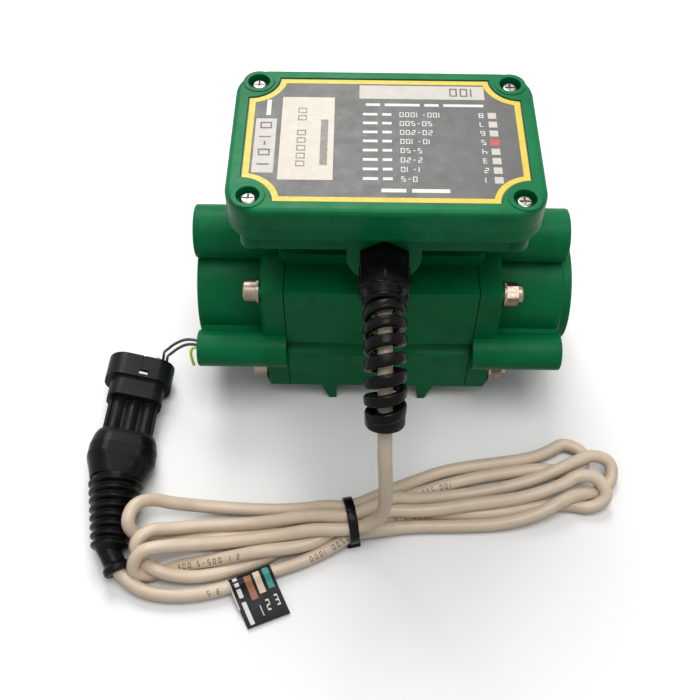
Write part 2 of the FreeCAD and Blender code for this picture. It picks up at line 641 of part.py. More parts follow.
def gland_body():
    hex_at = GLAND_WASHER_T
    body = fuse([cyl(GLAND_THREAD_R, gland_point(-BOSS_WALL - LOCKNUT_H - 1.0), FRONT,
                     BOSS_WALL + LOCKNUT_H + 1.0 + hex_at + 1.0),
                 hexagon(GLAND_AF, gland_point(hex_at), FRONT, GLAND_HEX_H),
                 cyl(GLAND_NECK_R, gland_point(hex_at + GLAND_HEX_H - 0.5), FRONT, GLAND_NECK_H + 0.5)])
    body = body.cut(cyl(GLAND_BORE_R, gland_point(-20), FRONT, 50))
    return body.cut(cyl(SEAL_SLEEVE_R + FIT, gland_point(hex_at + GLAND_HEX_H + 1.5), FRONT, 20))


def gland_washer():
    return ring(8.0, GLAND_THREAD_R + FIT, gland_point(0), FRONT, GLAND_WASHER_T)


def gland_locknut():
    nut = hexagon(LOCKNUT_AF, gland_point(-BOSS_WALL - LOCKNUT_H), FRONT, LOCKNUT_H)
    return nut.cut(cyl(GLAND_THREAD_R + FIT, gland_point(-BOSS_WALL - LOCKNUT_H - 1), FRONT, LOCKNUT_H + 2))


def gland_sleeve():
    start = GLAND_WASHER_T + GLAND_HEX_H + 1.5
    return ring(SEAL_SLEEVE_R, CABLE_R + FIT, gland_point(start), FRONT, GLAND_NECK_H - 1.7)


NUT_FROM = GLAND_WASHER_T + GLAND_HEX_H + 0.2      # forward of the boss face
COLLAR_TO = NUT_FROM + CAPNUT_H + CAPNUT_COLLAR_H

# Cable route, standing frame: out of the gland, through the spiral, down on to
# the tied hank.
LEAD_ROUTE = [
    (STAND.x, -25.0, STAND.z + GLAND_Z),
    (STAND.x, -74.2, STAND.z + GLAND_Z),
    (-0.9, -97.4, 57.4),
    (0.5, -97.6, 32.5),
    (-4.6, -97.2, 12.2),
    (-21.5, -96.4, 5.2),
]
TAIL_ROUTE = [
    (-17.0, -100.3, 7.0),
    (-28.0, -104.6, 5.4),
    (-42.5, -111.5, 3.4),
    (-59.0, -118.8, 3.1),
    (-77.0, -122.6, 3.1),
    (-92.5, -120.6, 3.6),
    (-101.4, -112.0, 6.2),
]
WIRE_R = 0.9
WIRE_ROUTE = [
    (-68.3, -31.0, 36.9),
    (-78.5, -29.2, 38.2),
    (-86.5, -22.8, 30.5),
    (-91.6, -18.2, 20.5),
    (-93.9, -18.6, 11.0),
    (-93.9, -26.6, 8.4),
]


def arcs_of(route, label):
    """Straight runs joined by tangent arcs; prints the radii and returns the path."""
    pts = [V(*p) for p in route]
    runs = [(pts[i + 1] - pts[i]).Length for i in range(len(pts) - 1)]
    edges, at, radii = [], pts[0], []
    for i in range(1, len(pts) - 1):
        a = (pts[i] - pts[i - 1]).normalize()
        b = (pts[i + 1] - pts[i]).normalize()
        turn = a.getAngle(b)
        back = 0.45 * min(runs[i - 1], runs[i])
        radii.append(back / math.tan(turn / 2))
        p0, p1 = pts[i] - a * back, pts[i] + b * back
        inward = (b - a).normalize()
        mid = pts[i] + inward * (radii[-1] / math.cos(turn / 2) - radii[-1])
        edges.append(Part.LineSegment(at, p0).toShape())
        edges.append(Part.Arc(p0, mid, p1).toShape())
        at = p1
    edges.append(Part.LineSegment(at, pts[-1]).toShape())
    print(label, 'runs', [round(r, 1) for r in runs], 'radii', [round(r, 1) for r in radii])
    return Part.Wire(edges)


def tube(route, r, label):
    path = arcs_of(route, label)
    start = V(*route[0])
    way = (V(*route[1]) - start).normalize()
    profile = Part.Wire([Part.Circle(start, way, r).toShape()])
    solid = path.makePipeShell([profile], True, False)
    print(label, 'length', round(path.Length, 1), 'volume / section x length',
          round(solid.Volume / (math.pi * r * r * path.Length), 4))
    return solid


def spiral_line():
    """Centre line of the spiral, pipe frame: lead arc of the cable route."""
    p = [V(*q) - STAND for q in LEAD_ROUTE[:3]]
    a, b = (p[1] - p[0]).normalize(), (p[2] - p[1]).normalize()
    turn = a.getAngle(b)
    back = 0.45 * min((p[1] - p[0]).Length, (p[2] - p[1]).Length)
    radius = back / math.tan(turn / 2)
    start = p[1] - a * back
    inward = (b - a * a.dot(b)).normalize()
    centre = start + inward * radius
    return start, a, inward, centre, radius, turn


def on_spiral(s):
    """Point and direction at arc length s from the start of the bend."""
    start, a, inward, centre, radius, turn = spiral_line()
    if s <= 0:
        return start + a * s, a
    t = min(s / radius, turn)
    point = centre - inward * (radius * math.cos(t)) + a * (radius * math.sin(t))
    way = a * math.cos(t) + inward * math.sin(t)
    return point + way * max(0.0, s - radius * turn), way


def spiral_strip(s0, s1):
    """Right-handed strip of rectangular section wound round the cable, in flat facets."""
    count = int(round((s1 - s0) / SPIRAL_PITCH * SPIRAL_FACETS))
    half = SPIRAL_AXIAL / 2
    inward = spiral_line()[2]
    stations = []
    for i in range(count + 1):
        f = i / count
        s = s0 + (s1 - s0) * f
        point, way = on_spiral(s)
        side = way.cross(inward).normalize()
        top = way.cross(side)
        turn = 2 * math.pi * (s - SPIRAL_FACE) / SPIRAL_PITCH
        radial = top * math.cos(turn) + way.cross(top) * math.sin(turn)
        outer = SPIRAL_R + (SPIRAL_END_R - SPIRAL_R) * f
        stations.append([point + radial * r + way * w for r, w in
                         ((SPIRAL_INNER, -half), (outer, -half), (outer, half), (SPIRAL_INNER, half))])
    faces = []

    def facet(*pts):
        faces.append(Part.Face(Part.makePolygon(list(pts) + [pts[0]])))

    for here, there in zip(stations, stations[1:]):
        for k in range(4):
            m = (k + 1) % 4
            facet(here[k], here[m], there[m])
            facet(here[k], there[m], there[k])
    for end in (stations[0], stations[-1]):
        facet(end[0], end[1], end[2])
        facet(end[0], end[2], end[3])
    solid = Part.makeSolid(Part.makeShell(faces))
    if solid.Volume < 0:
        solid.reverse()
    return solid


def gland_spiral_nut():
    nut = hexagon(GLAND_AF, gland_point(NUT_FROM), FRONT, CAPNUT_H)
    nut = nut.common(cyl(GLAND_AF / math.sqrt(3) - 0.4, gland_point(NUT_FROM), FRONT, CAPNUT_H))
    collar = Part.makeCone(GLAND_AF / 2, CAPNUT_COLLAR_R, CAPNUT_COLLAR_H,
                           gland_point(NUT_FROM + CAPNUT_H), FRONT)
    nut = nut.fuse(collar)
    neck_end = GLAND_WASHER_T + GLAND_HEX_H + GLAND_NECK_H
    nut = nut.cut(cyl(GLAND_NECK_R + FIT, gland_point(NUT_FROM - 1), FRONT, neck_end + FIT - NUT_FROM + 1))
    nut = nut.cut(cyl(SPIRAL_INNER - 0.6, gland_point(NUT_FROM), FRONT, CAPNUT_H + CAPNUT_COLLAR_H + 1))
    _, _, _, _, radius, turn = spiral_line()
    start = spiral_line()[0]
    s_nut = (gland_point(COLLAR_TO) - start).dot(FRONT)
    s_end = radius * turn + 1.0
    half = SPIRAL_AXIAL / 2
    strip = spiral_strip(s_nut - half + 0.4, s_end + half - 0.4)
    cap_at, way = on_spiral(s_end)
    cap = ring(SPIRAL_CAP_R, CABLE_R + 0.2, cap_at, way, SPIRAL_CAP_H)
    cap = cap.makeFillet(0.8, [e for e in cap.Edges if e.Curve.TypeId == 'Part::GeomCircle'
                               and e.Curve.Radius > CABLE_R + 1
                               and (e.CenterOfMass - (cap_at + way * SPIRAL_CAP_H)).Length < 1e-4])
    return nut.fuse([strip, cap])


# Plug, standing frame
def rounded_section(w, t, r, y):
    """Wire of a rounded rectangle across the plug axis."""
    r = min(r, w / 2 - 0.01, t / 2 - 0.01)
    x0, z0 = w / 2, t / 2
    k = r * (1 - math.sqrt(0.5))
    segs = []

    def line(a, b):
        segs.append(Part.LineSegment(V(a[0], y, a[1]), V(b[0], y, b[1])).toShape())

    def arc(a, m, b):
        segs.append(Part.Arc(V(a[0], y, a[1]), V(m[0], y, m[1]), V(b[0], y, b[1])).toShape())

    line((-x0 + r, -z0), (x0 - r, -z0))
    arc((x0 - r, -z0), (x0 - k, -z0 + k), (x0, -z0 + r))
    line((x0, -z0 + r), (x0, z0 - r))
    arc((x0, z0 - r), (x0 - k, z0 - k), (x0 - r, z0))
    line((x0 - r, z0), (-x0 + r, z0))
    arc((-x0 + r, z0), (-x0 + k, z0 - k), (-x0, z0 - r))
    line((-x0, z0 - r), (-x0, -z0 + r))
    arc((-x0, -z0 + r), (-x0 + k, -z0 + k), (-x0 + r, -z0))
    return Part.Wire(segs)


def plug_bar(w, t, r, y0, y1):
    return Part.Face(rounded_section(w, t, r, -y0)).extrude(V(0, y0 - y1, 0))


def seat_plug(shape):
    shape.rotate(V(0, 0, 0), EY, PLUG_ROLL)
    shape.rotate(V(0, 0, 0), EZ, -PLUG_YAW)
    shape.translate(V(PLUG_X, PLUG_MOUTH_Y, PLUG_Z))
    return shape


SHELL_END = COLLAR_L + SHELL_L
TUBE_END = SHELL_END + TUBE_L
SHELL_FLOOR = 3.0        # wall between the pin room and the tubes
WIRE_SEAL_L = 6.0
WIRE_SEAL_IN = 0.6       # seals sit this deep in the tube mouths


def plug_housing():
    shell = fuse([plug_bar(COLLAR_W, COLLAR_T, 7.0, 0, COLLAR_L),
                  plug_bar(SHELL_W, SHELL_T, 5.0, COLLAR_L - 1, SHELL_END)])
    shell = shell.cut(plug_bar(COLLAR_W - 2 * PLUG_WALL, COLLAR_T - 2 * PLUG_WALL, 5.4, -1, COLLAR_L - PLUG_WALL))
    shell = shell.cut(plug_bar(SHELL_W - 2 * PLUG_WALL, SHELL_T - 2 * PLUG_WALL, 3.6, COLLAR_L - 2,
                               SHELL_END - SHELL_FLOOR))
    parts = [shell]
    for i in (-1, 0, 1):
        parts.append(cyl(TUBE_R, V(i * PIN_PITCH, -SHELL_END + 1, 0), FRONT, TUBE_L + 1))
    parts.append(plug_bar(2 * PIN_PITCH, TUBE_R, 1.0, SHELL_END - 1, TUBE_END))
    rail_in = PIN_PITCH + TUBE_R - 0.4
    for s in (-1, 1):
        x0, x1 = sorted((s * rail_in, s * (rail_in + RAIL_T)))
        parts.append(box(x0, x1, -BOOT_START - 3.0, -SHELL_END + 1, -RAIL_H / 2, RAIL_H / 2))
    top = COLLAR_T / 2
    shell = fuse(parts)
    shell = shell.cut(box(-0.3, 0.3, -COLLAR_L + 3.2, 1.0, top - 0.5, top + 1.0))
    shell = shell.cut(box(-0.8, 3.0, -COLLAR_L + 1.2, -COLLAR_L + 3.4, top - PLUG_WALL - 1.0, top + 1.0))
    for i in (-1, 0, 1):
        shell = shell.cut(cyl(TUBE_BORE, V(i * PIN_PITCH, -TUBE_END - 1, 0), EY, WIRE_SEAL_L + WIRE_SEAL_IN + 1.5))
        shell = shell.cut(cyl(PIN_R + FIT, V(i * PIN_PITCH, -TUBE_END - 1, 0), EY, TUBE_L + SHELL_FLOOR + 3.0))
    return seat_plug(shell.removeSplitter())


def plug_pins():
    start = TUBE_END - WIRE_SEAL_L - WIRE_SEAL_IN - 0.5
    return Part.makeCompound([seat_plug(cyl(PIN_R, V(i * PIN_PITCH, -start, 0), EY, start - PIN_TIP))
                              for i in (-1, 0, 1)])


def wire_seals():
    start = TUBE_END - WIRE_SEAL_IN
    return Part.makeCompound([seat_plug(ring(TUBE_BORE - FIT / 2, 0.85, V(i * PIN_PITCH, -start, 0), EY, WIRE_SEAL_L))
                              for i in (-1, 0, 1)])


def plug_lock():
    """Pale retainer in the mouth; its tongue stands out past the collar."""
    base_y = -(COLLAR_L - PLUG_WALL)
    low = PIN_R + 0.3
    block = box(LOCK_FROM, LOCK_FROM + LOCK_W, base_y, -1.5, low, low + LOCK_T - 1.0)
    x0, x1 = LOCK_FROM + 0.4, LOCK_FROM + LOCK_W
    tongue = prism([(x0, -3.0, low), (x1, -3.0, low), (x1, 2.4, low), (x1 - 1.8, 3.4, low)],
                   V(0, 0, LOCK_T - 2.0))
    return seat_plug(block.fuse(tongue).removeSplitter())


def plug_line(distance, z):
    """Point under the plug axis at a distance behind the mouth."""
    t = math.radians(PLUG_YAW)
    return V(PLUG_X - distance * math.sin(t), PLUG_MOUTH_Y - distance * math.cos(t), z)


BELLOWS_A = plug_line(BELLOWS_FROM, 10.9)
BELLOWS_B = V(-104.2, -106.2, 7.9)
NECK_B = V(-99.8, -114.0, 5.7)


def revolve_along(profile, a, b):
    """Solid of revolution about the line a-b; profile is (distance, radius) pairs."""
    way = (b - a).normalize()
    side = way.cross(EZ).normalize()
    pts = [a + way * profile[0][0]] + [a + way * d + side * r for d, r in profile] \
        + [a + way * profile[-1][0]]
    face = Part.Face(Part.makePolygon(pts + [pts[0]]))
    return face.revolve(a, way, 360)


def plug_boot():
    full = BOOT_START + BOOT_SHOULDER
    shoulder = Part.makeLoft([rounded_section(BOOT_FRONT_W, BOOT_T - 3.4, 6.0, -BOOT_START),
                              rounded_section(BOOT_FRONT_W + 1.8, BOOT_T - 1.4, 7.0, -BOOT_START - 2.0),
                              rounded_section(BOOT_W, BOOT_T, 7.5, -full)], True, True)
    body = plug_bar(BOOT_W, BOOT_T, 7.5, full, full + BOOT_FULL)
    taper = Part.makeLoft([rounded_section(BOOT_W, BOOT_T, 7.5, -full - BOOT_FULL),
                           rounded_section(BELLOWS_R * 2 - 0.6, BOOT_T - 0.4, 9.0, -BELLOWS_FROM)],
                          True, True)
    front = fuse([shoulder, body, taper])
    front = front.cut(plug_bar(2 * (PIN_PITCH + TUBE_R + RAIL_T), SHELL_T - 4.0, 3.0, BOOT_START - 1, TUBE_END + 0.2))
    front = seat_plug(front)
    length = (BELLOWS_B - BELLOWS_A).Length
    profile = [(-0.8, BELLOWS_R - BELLOWS_DEPTH)]
    step = length / BELLOWS_RINGS
    for i in range(BELLOWS_RINGS):
        r = BELLOWS_R + (BELLOWS_END_R - BELLOWS_R) * (i + 0.5) / BELLOWS_RINGS
        profile += [((i + 0.12) * step, r - BELLOWS_DEPTH), ((i + 0.38) * step, r),
                    ((i + 0.62) * step, r), ((i + 0.88) * step, r - BELLOWS_DEPTH)]
    profile += [(length + 0.6, BELLOWS_END_R - 2.4)]
    bellows = revolve_along(profile, BELLOWS_A, BELLOWS_B)
    nl = (NECK_B - BELLOWS_B).Length
    neck = revolve_along([(-2.0, BELLOWS_END_R - 2.4), (1.5, BOOT_NECK_R), (nl - 3.8, BOOT_NECK_R),
                          (nl - 2.4, RING_END_R), (nl - 0.6, RING_END_R), (nl, RING_END_R - 0.6)],
                         BELLOWS_B, NECK_B)
    boot = fuse([front, bellows, neck])
    way = (BELLOWS_B - NECK_B).normalize()
    return boot.cut(cyl(CABLE_R + CORD_FIT, NECK_B - way * 1.0, way, nl + 0.5))


# Hank, tie and flag, standing frame
BUNDLE_R = 7.9           # seven strands, packed
TIE_T = 1.2
TIE_HEAD_W = 5.2
TIE_HEAD_H = 3.4
TIE_HEAD_L = 4.4
TIE_HEAD_DOWN = 30.0     # head below the front of the bundle
TIE_W = 3.6
TIE_X = -12.4
TIE_TURN = 12.0          # the hank crosses the tie at this angle to X
BUNDLE_Y = -93.2
BUNDLE_Z = BUNDLE_R + TIE_T + 0.1


def turn_to_tie(shape):
    shape.rotate(V(TIE_X, BUNDLE_Y, 0), EZ, TIE_TURN)
    return shape


def smooth_face(points, z):
    curve = Part.BSplineCurve()
    curve.interpolate([V(x, y, z) for x, y in points], True)
    return Part.Face(Part.Wire([curve.toShape()]))


def cable_hank():
    """Outer shape of the tied hank: a round waist with a flat bow on each side."""
    left = [(-8, -88.5), (-26, -85.5), (-48, -84.0), (-70, -83.6), (-86, -84.4), (-93.6, -88.0),
            (-95.2, -95.5), (-96.2, -103.0), (-92.6, -109.5), (-89, -113.6), (-77, -112.6), (-56, -108.0),
            (-34, -103.0), (-14, -100.0), (-8, -97.0)]
    right = [(-19, -90.0), (-6, -85.5), (8, -80.5), (24, -73.6), (44, -67.4), (66, -63.0), (81, -61.5),
             (89.5, -66.5), (91.5, -76.0), (84, -83.5), (71, -88.6), (50, -93.5), (24, -96.5), (0, -98.0),
             (-14, -97.8), (-19, -95.5)]
    lobes = []
    for pts, x_far, h_far in ((left, -97.0, 12.0), (right, 93.0, 12.0)):
        slab = smooth_face(pts, 0.0).extrude(V(0, 0, 30))
        x_near = TIE_X
        h_near = BUNDLE_Z + BUNDLE_R * 0.75
        side = prism([(x_near - math.copysign(12, x_far), -150, 0.0),
                      (x_near - math.copysign(12, x_far), -150, h_near),
                      (x_near + math.copysign(20, x_far), -150, h_near),
                      (x_far * 0.75, -150, h_far), (x_far * 1.1, -150, h_far),
                      (x_far * 1.1, -150, 0.0)], V(0, 120, 0))
        lobes.append(slab.common(side))
    band = turn_to_tie(box(TIE_X - TIE_W / 2 - 3.0, TIE_X + TIE_W / 2 + 3.0, -130, -60, -1, 40))
    lobes = [lobe.cut(band) for lobe in lobes]
    waist = cyl(BUNDLE_R, V(TIE_X - TIE_W / 2 - 8.0, BUNDLE_Y, BUNDLE_Z), EX, TIE_W + 16.0)
    return fuse([turn_to_tie(waist)] + lobes)


def cable_tie():
    start = V(TIE_X - TIE_W / 2, BUNDLE_Y, BUNDLE_Z)
    inner = BUNDLE_R + 0.1
    band = ring(inner + TIE_T, inner, start, EX, TIE_W)
    head = box(TIE_X - TIE_HEAD_W / 2, TIE_X + TIE_HEAD_W / 2, BUNDLE_Y - inner - TIE_HEAD_H,
               BUNDLE_Y - inner + 1.5, BUNDLE_Z - TIE_HEAD_L / 2, BUNDLE_Z + TIE_HEAD_L / 2)
    head.rotate(V(0, BUNDLE_Y, BUNDLE_Z), EX, TIE_HEAD_DOWN)
    head = head.cut(cyl(inner, start - EX * 5, EX, TIE_W + 10))
    return turn_to_tie(fuse([band, head]))


FLAG_A = V(-57.6, -118.2, 3.2)
FLAG_B = V(-42.4, -111.6, 3.4)
FLAG_OUT = 14.8
FLAG_T = 0.5
FLAG_DROP = 14.0


def cable_flag():
    way = (FLAG_B - FLAG_A).normalize()
    length = (FLAG_B - FLAG_A).Length
    r = CABLE_R + 0.9
    centre = FLAG_A + EZ * 0.75
    sleeve = ring(r + FLAG_T, r, centre, way, length)
    out = V(way.y, -way.x, 0).normalize()
    drop = out * math.cos(math.radians(FLAG_DROP)) - EZ * math.sin(math.radians(FLAG_DROP))
    root = centre + EZ * (r + FLAG_T / 2 - 2.6) + out * (r - 1.0)
    n = drop.cross(way).normalize() * FLAG_T
    pts = [root, root + way * length, root + way * length + drop * FLAG_OUT, root + drop * FLAG_OUT]
    leaf = Part.Face(Part.makePolygon(pts + [pts[0]])).extrude(n)
    return fuse([sleeve, leaf.cut(cyl(r + 0.05, centre - way, way, length + 2))])


# Write
body_parts = {
    'meter_body': meter_body,
    'outlet_cap': lambda: end_cap(-1, False),
    'inlet_cap': lambda: end_cap(1, True),
    'port_seals': port_seals,
    'tie_bolts': tie_bolts,
    'bolt_washers': bolt_washers,
    'lock_nuts': lock_nuts,
    'flow_liner': flow_liner,
    'electrodes': electrodes,
    'coil_spools': coil_spools,
    'coil_windings': coil_windings,
    'coil_cores': coil_cores,
    'coil_cover': coil_cover,
    'cover_screws': cover_screws,
    'box_base': box_base,
    'pedestal_screws': pedestal_screws,
    'box_lid': box_lid,
    'lid_screws': lid_screws,
    'lid_seal': lid_seal,
    'label_plate': label_plate,
    'circuit_board': circuit_board,
    'board_screws': board_screws,
    'board_parts': board_parts,
    'terminal_block': terminal_block,
    'gland_body': gland_body,
    'gland_washer': gland_washer,
    'gland_locknut': gland_locknut,
    'gland_sleeve': gland_sleeve,
    'gland_spiral_nut': gland_spiral_nut,
}


shapes = {}
for name, make in body_parts.items():
    shape = make()
    shape.translate(STAND)
    shapes[name] = shape
hank = cable_hank()
boot = plug_boot()
shapes['cable_hank'] = hank
shapes['cable_tie'] = cable_tie()
shapes['cable_lead'] = tube(LEAD_ROUTE, CABLE_R, 'cable_lead').cut(hank)
shapes['cable_tail'] = tube(TAIL_ROUTE, CABLE_R, 'cable_tail').cut([hank, boot])
shapes['cable_flag'] = cable_flag()
shapes['plug_housing'] = plug_housing()
shapes['plug_lock'] = plug_lock()
shapes['plug_pins'] = plug_pins()
shapes['wire_seals'] = wire_seals()
shapes['plug_boot'] = boot
shapes['tag_wire'] = tube(WIRE_ROUTE, WIRE_R, 'tag_wire')

os.makedirs('parts', exist_ok=True)
for name, shape in shapes.items():
    b = shape.BoundBox
    print(name, 'solids', len(shape.Solids), 'valid', shape.isValid(), 'volume', round(shape.Volume, 1),
          'x %.1f %.1f y %.1f %.1f z %.1f %.1f' % (b.XMin, b.XMax, b.YMin, b.YMax, b.ZMin, b.ZMax))
    shape.exportStep('parts/' + name + '.step')
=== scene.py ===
import math

import bpy
from mathutils import Matrix, Vector


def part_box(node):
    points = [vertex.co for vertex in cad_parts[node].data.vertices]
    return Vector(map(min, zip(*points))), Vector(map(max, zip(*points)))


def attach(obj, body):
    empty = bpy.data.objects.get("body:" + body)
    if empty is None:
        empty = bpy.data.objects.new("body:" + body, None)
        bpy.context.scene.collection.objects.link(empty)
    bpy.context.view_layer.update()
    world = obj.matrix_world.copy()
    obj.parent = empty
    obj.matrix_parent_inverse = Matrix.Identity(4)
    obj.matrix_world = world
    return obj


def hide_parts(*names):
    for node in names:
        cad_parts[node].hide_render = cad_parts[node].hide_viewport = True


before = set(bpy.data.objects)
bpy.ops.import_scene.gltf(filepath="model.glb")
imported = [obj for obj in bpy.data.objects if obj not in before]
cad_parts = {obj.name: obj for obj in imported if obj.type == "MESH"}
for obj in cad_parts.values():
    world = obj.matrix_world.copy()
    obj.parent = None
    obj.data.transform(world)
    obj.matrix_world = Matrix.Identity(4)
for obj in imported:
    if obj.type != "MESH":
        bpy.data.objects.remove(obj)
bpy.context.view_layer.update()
bpy.ops.object.select_all(action='DESELECT')
MM = 0.001

# Materials


class Finish:
    """A material under construction: its nodes, its shader and its coordinates."""

    def __init__(self, name, colour, roughness, **sockets):
        self.material = bpy.data.materials.new(name)
        self.material.use_nodes = True
        self.tree = self.material.node_tree
        self.shader = self.tree.nodes["Principled BSDF"]
        self.shader.inputs["Base Color"].default_value = (*colour, 1)
        self.shader.inputs["Roughness"].default_value = roughness
        for socket, value in sockets.items():
            self.shader.inputs[socket.replace("_", " ")].default_value = value
        self.colour = colour
        self.where = self.tree.nodes.new("ShaderNodeTexCoord").outputs["Object"]
        self.normal = None

    def add(self, kind, **values):
        node = self.tree.nodes.new(kind)
        for key, value in values.items():
            if hasattr(node, key):
                setattr(node, key, value)
            else:
                node.inputs[key.replace("_", " ")].default_value = value
        return node

    def link(self, a, b):
        self.tree.links.new(a, b)

    def speckle(self, size_mm, detail=2.0, stretch=(1, 1, 1), rough=0.5):
        """Noise whose cells are about size_mm wide."""
        mapping = self.add("ShaderNodeMapping")
        mapping.inputs["Scale"].default_value = [s * 1000.0 / size_mm for s in stretch]
        noise = self.add("ShaderNodeTexNoise", Scale=1.0, Detail=detail, Roughness=rough)
        self.link(self.where, mapping.inputs["Vector"])
        self.link(mapping.outputs["Vector"], noise.inputs["Vector"])
        return noise.outputs["Fac"]

    def between(self, value, low, high, out_low, out_high):
        ranged = self.add("ShaderNodeMapRange")
        sockets = ("From Min", "From Max", "To Min", "To Max")
        for socket, number in zip(sockets, (low, high, out_low, out_high)):
            ranged.inputs[socket].default_value = number
        self.link(value, ranged.inputs["Value"])
        return ranged.outputs["Result"]

    def tint(self, value, low, high, other):
        """Base colour runs to another colour where the value runs from low to high."""
        mix = self.add("ShaderNodeMix", data_type='RGBA')
        feeding = self.shader.inputs["Base Color"]
        if feeding.is_linked:
            self.link(feeding.links[0].from_socket, mix.inputs["A"])
        else:
            mix.inputs["A"].default_value = (*self.colour, 1)
        mix.inputs["B"].default_value = (*other, 1)
        self.link(self.between(value, low, high, 0.0, 1.0), mix.inputs["Factor"])
        self.link(mix.outputs["Result"], feeding)
        return self

    def dull(self, value, low, high, smooth, rough):
        self.link(self.between(value, low, high, smooth, rough), self.shader.inputs["Roughness"])
        return self

    def soft_edges(self, radius_mm):
        bevel = self.add("ShaderNodeBevel", samples=6)
        bevel.inputs["Radius"].default_value = radius_mm * MM
        self.normal = bevel.outputs["Normal"]
        self.link(self.normal, self.shader.inputs["Normal"])
        return self

    def relief(self, value, height_mm, strength=1.0):
        bump = self.add("ShaderNodeBump", Strength=strength)
        bump.inputs["Distance"].default_value = height_mm * MM
        self.link(value, bump.inputs["Height"])
        if self.normal:
            self.link(self.normal, bump.inputs["Normal"])
        self.normal = bump.outputs["Normal"]
        self.link(self.normal, self.shader.inputs["Normal"])
        return self


def moulded_green(name, colour, pale, deep, shine):
    """Moulded plastic: pale clouds, deeper flecks, uneven gloss, worn edges, fine grain and slow waves."""
    green = Finish(name, colour, shine, Specular_IOR_Level=0.09)
    green.tint(green.speckle(34, 3), 0.35, 0.75, pale)
    green.tint(green.speckle(11, 4), 0.52, 0.80, deep)
    green.dull(green.speckle(6, 3), 0.3, 0.7, shine - 0.06, shine + 0.10)
    green.soft_edges(0.45)
    green.relief(green.speckle(0.75, 2), 0.045, 0.60)
    green.relief(green.speckle(16, 1), 0.10, 0.35)
    return green.material


def black_plastic(name, colour, shine, grain_mm, grain_height, edge=0.25):
    """Black nylon or rubber with greyer patches, uneven gloss and a grain."""
    black = Finish(name, colour, shine, Specular_IOR_Level=0.11)
    black.tint(black.speckle(7, 3), 0.45, 0.85, tuple(c * 1.7 + 0.002 for c in colour))
    black.dull(black.speckle(3.5, 3), 0.3, 0.7, shine - 0.07, shine + 0.12)
    black.soft_edges(edge)
    black.relief(black.speckle(grain_mm, 2), grain_height, 0.6)
    return black.material


def bright_steel(name, colour, shine, along):
    """Bare metal with darker patches; along stretches its gloss and scratches."""
    steel = Finish(name, colour, shine, Metallic=1.0)
    steel.tint(steel.speckle(2.2, 4), 0.45, 0.8, tuple(c * 0.62 for c in colour))
    steel.dull(steel.speckle(1.4, 3, along), 0.3, 0.75, shine - 0.10, shine + 0.18)
    steel.soft_edges(0.18)
    steel.relief(steel.speckle(0.5, 2, along), 0.02, 0.5)
    return steel.material


HOUSING = moulded_green("housing green", (0.0014, 0.124, 0.040),
                        pale=(0.0030, 0.156, 0.053), deep=(0.0010, 0.096, 0.030), shine=0.40)
LID = moulded_green("lid green", (0.0020, 0.138, 0.045),
                    pale=(0.0040, 0.170, 0.060), deep=(0.0016, 0.108, 0.034), shine=0.32)
BOLT_STEEL = bright_steel("bolt steel", (0.300, 0.245, 0.190), 0.30, (0.2, 1, 1))
SCREW_STEEL = bright_steel("screw steel", (0.270, 0.250, 0.230), 0.28, (1, 1, 1))
GLAND_BLACK = black_plastic("gland black", (0.0022, 0.0022, 0.0024), 0.24, 0.5, 0.010)
PLUG_BLACK = black_plastic("plug black", (0.0070, 0.0086, 0.0096), 0.36, 0.35, 0.014)
BOOT_RUBBER = black_plastic("boot rubber", (0.0026, 0.0026, 0.0029), 0.30, 0.8, 0.020, 0.3)
TIE_NYLON = black_plastic("tie nylon", (0.0030, 0.0030, 0.0034), 0.26, 0.4, 0.008)
RUBBER = black_plastic("seal rubber", (0.012, 0.012, 0.012), 0.70, 0.3, 0.02)


def cable_sheath():
    """Beige sheath, paler and darker along its length, with a faint waviness."""
    sheath = Finish("cable sheath", (0.590, 0.470, 0.350), 0.30, Specular_IOR_Level=0.40)
    sheath.tint(sheath.speckle(28, 3), 0.35, 0.75, (0.670, 0.560, 0.440))
    sheath.tint(sheath.speckle(9, 4), 0.58, 0.85, (0.520, 0.420, 0.320))
    sheath.dull(sheath.speckle(5, 3), 0.3, 0.7, 0.26, 0.42)
    sheath.relief(sheath.speckle(1.6, 2), 0.03, 0.35)
    sheath.relief(sheath.speckle(14, 1), 0.12, 0.3)
    return sheath.material


def label_film():
    """Dark grey printed film with a fine pale fleck."""
    film = Finish("label film", (0.096, 0.097, 0.096), 0.36, Specular_IOR_Level=0.25)
    film.tint(film.speckle(22, 3), 0.40, 0.80, (0.122, 0.123, 0.121))
    film.tint(film.speckle(0.5, 1), 0.62, 0.75, (0.165, 0.166, 0.163))
    film.dull(film.speckle(5, 4), 0.3, 0.7, 0.30, 0.48)
    film.relief(film.speckle(0.35, 2), 0.012, 0.5)
    return film.material


def printed(name, colour, shine=0.45, worn=0.8):
    """Ink or paper on the label, a little uneven."""
    ink = Finish(name, colour, shine)
    ink.tint(ink.speckle(3.5, 4), 0.50, 0.85, tuple(c * worn for c in colour))
    ink.dull(ink.speckle(2.0, 3), 0.3, 0.7, shine - 0.05, shine + 0.12)
    ink.relief(ink.speckle(0.4, 2), 0.006, 0.4)
    return ink.material


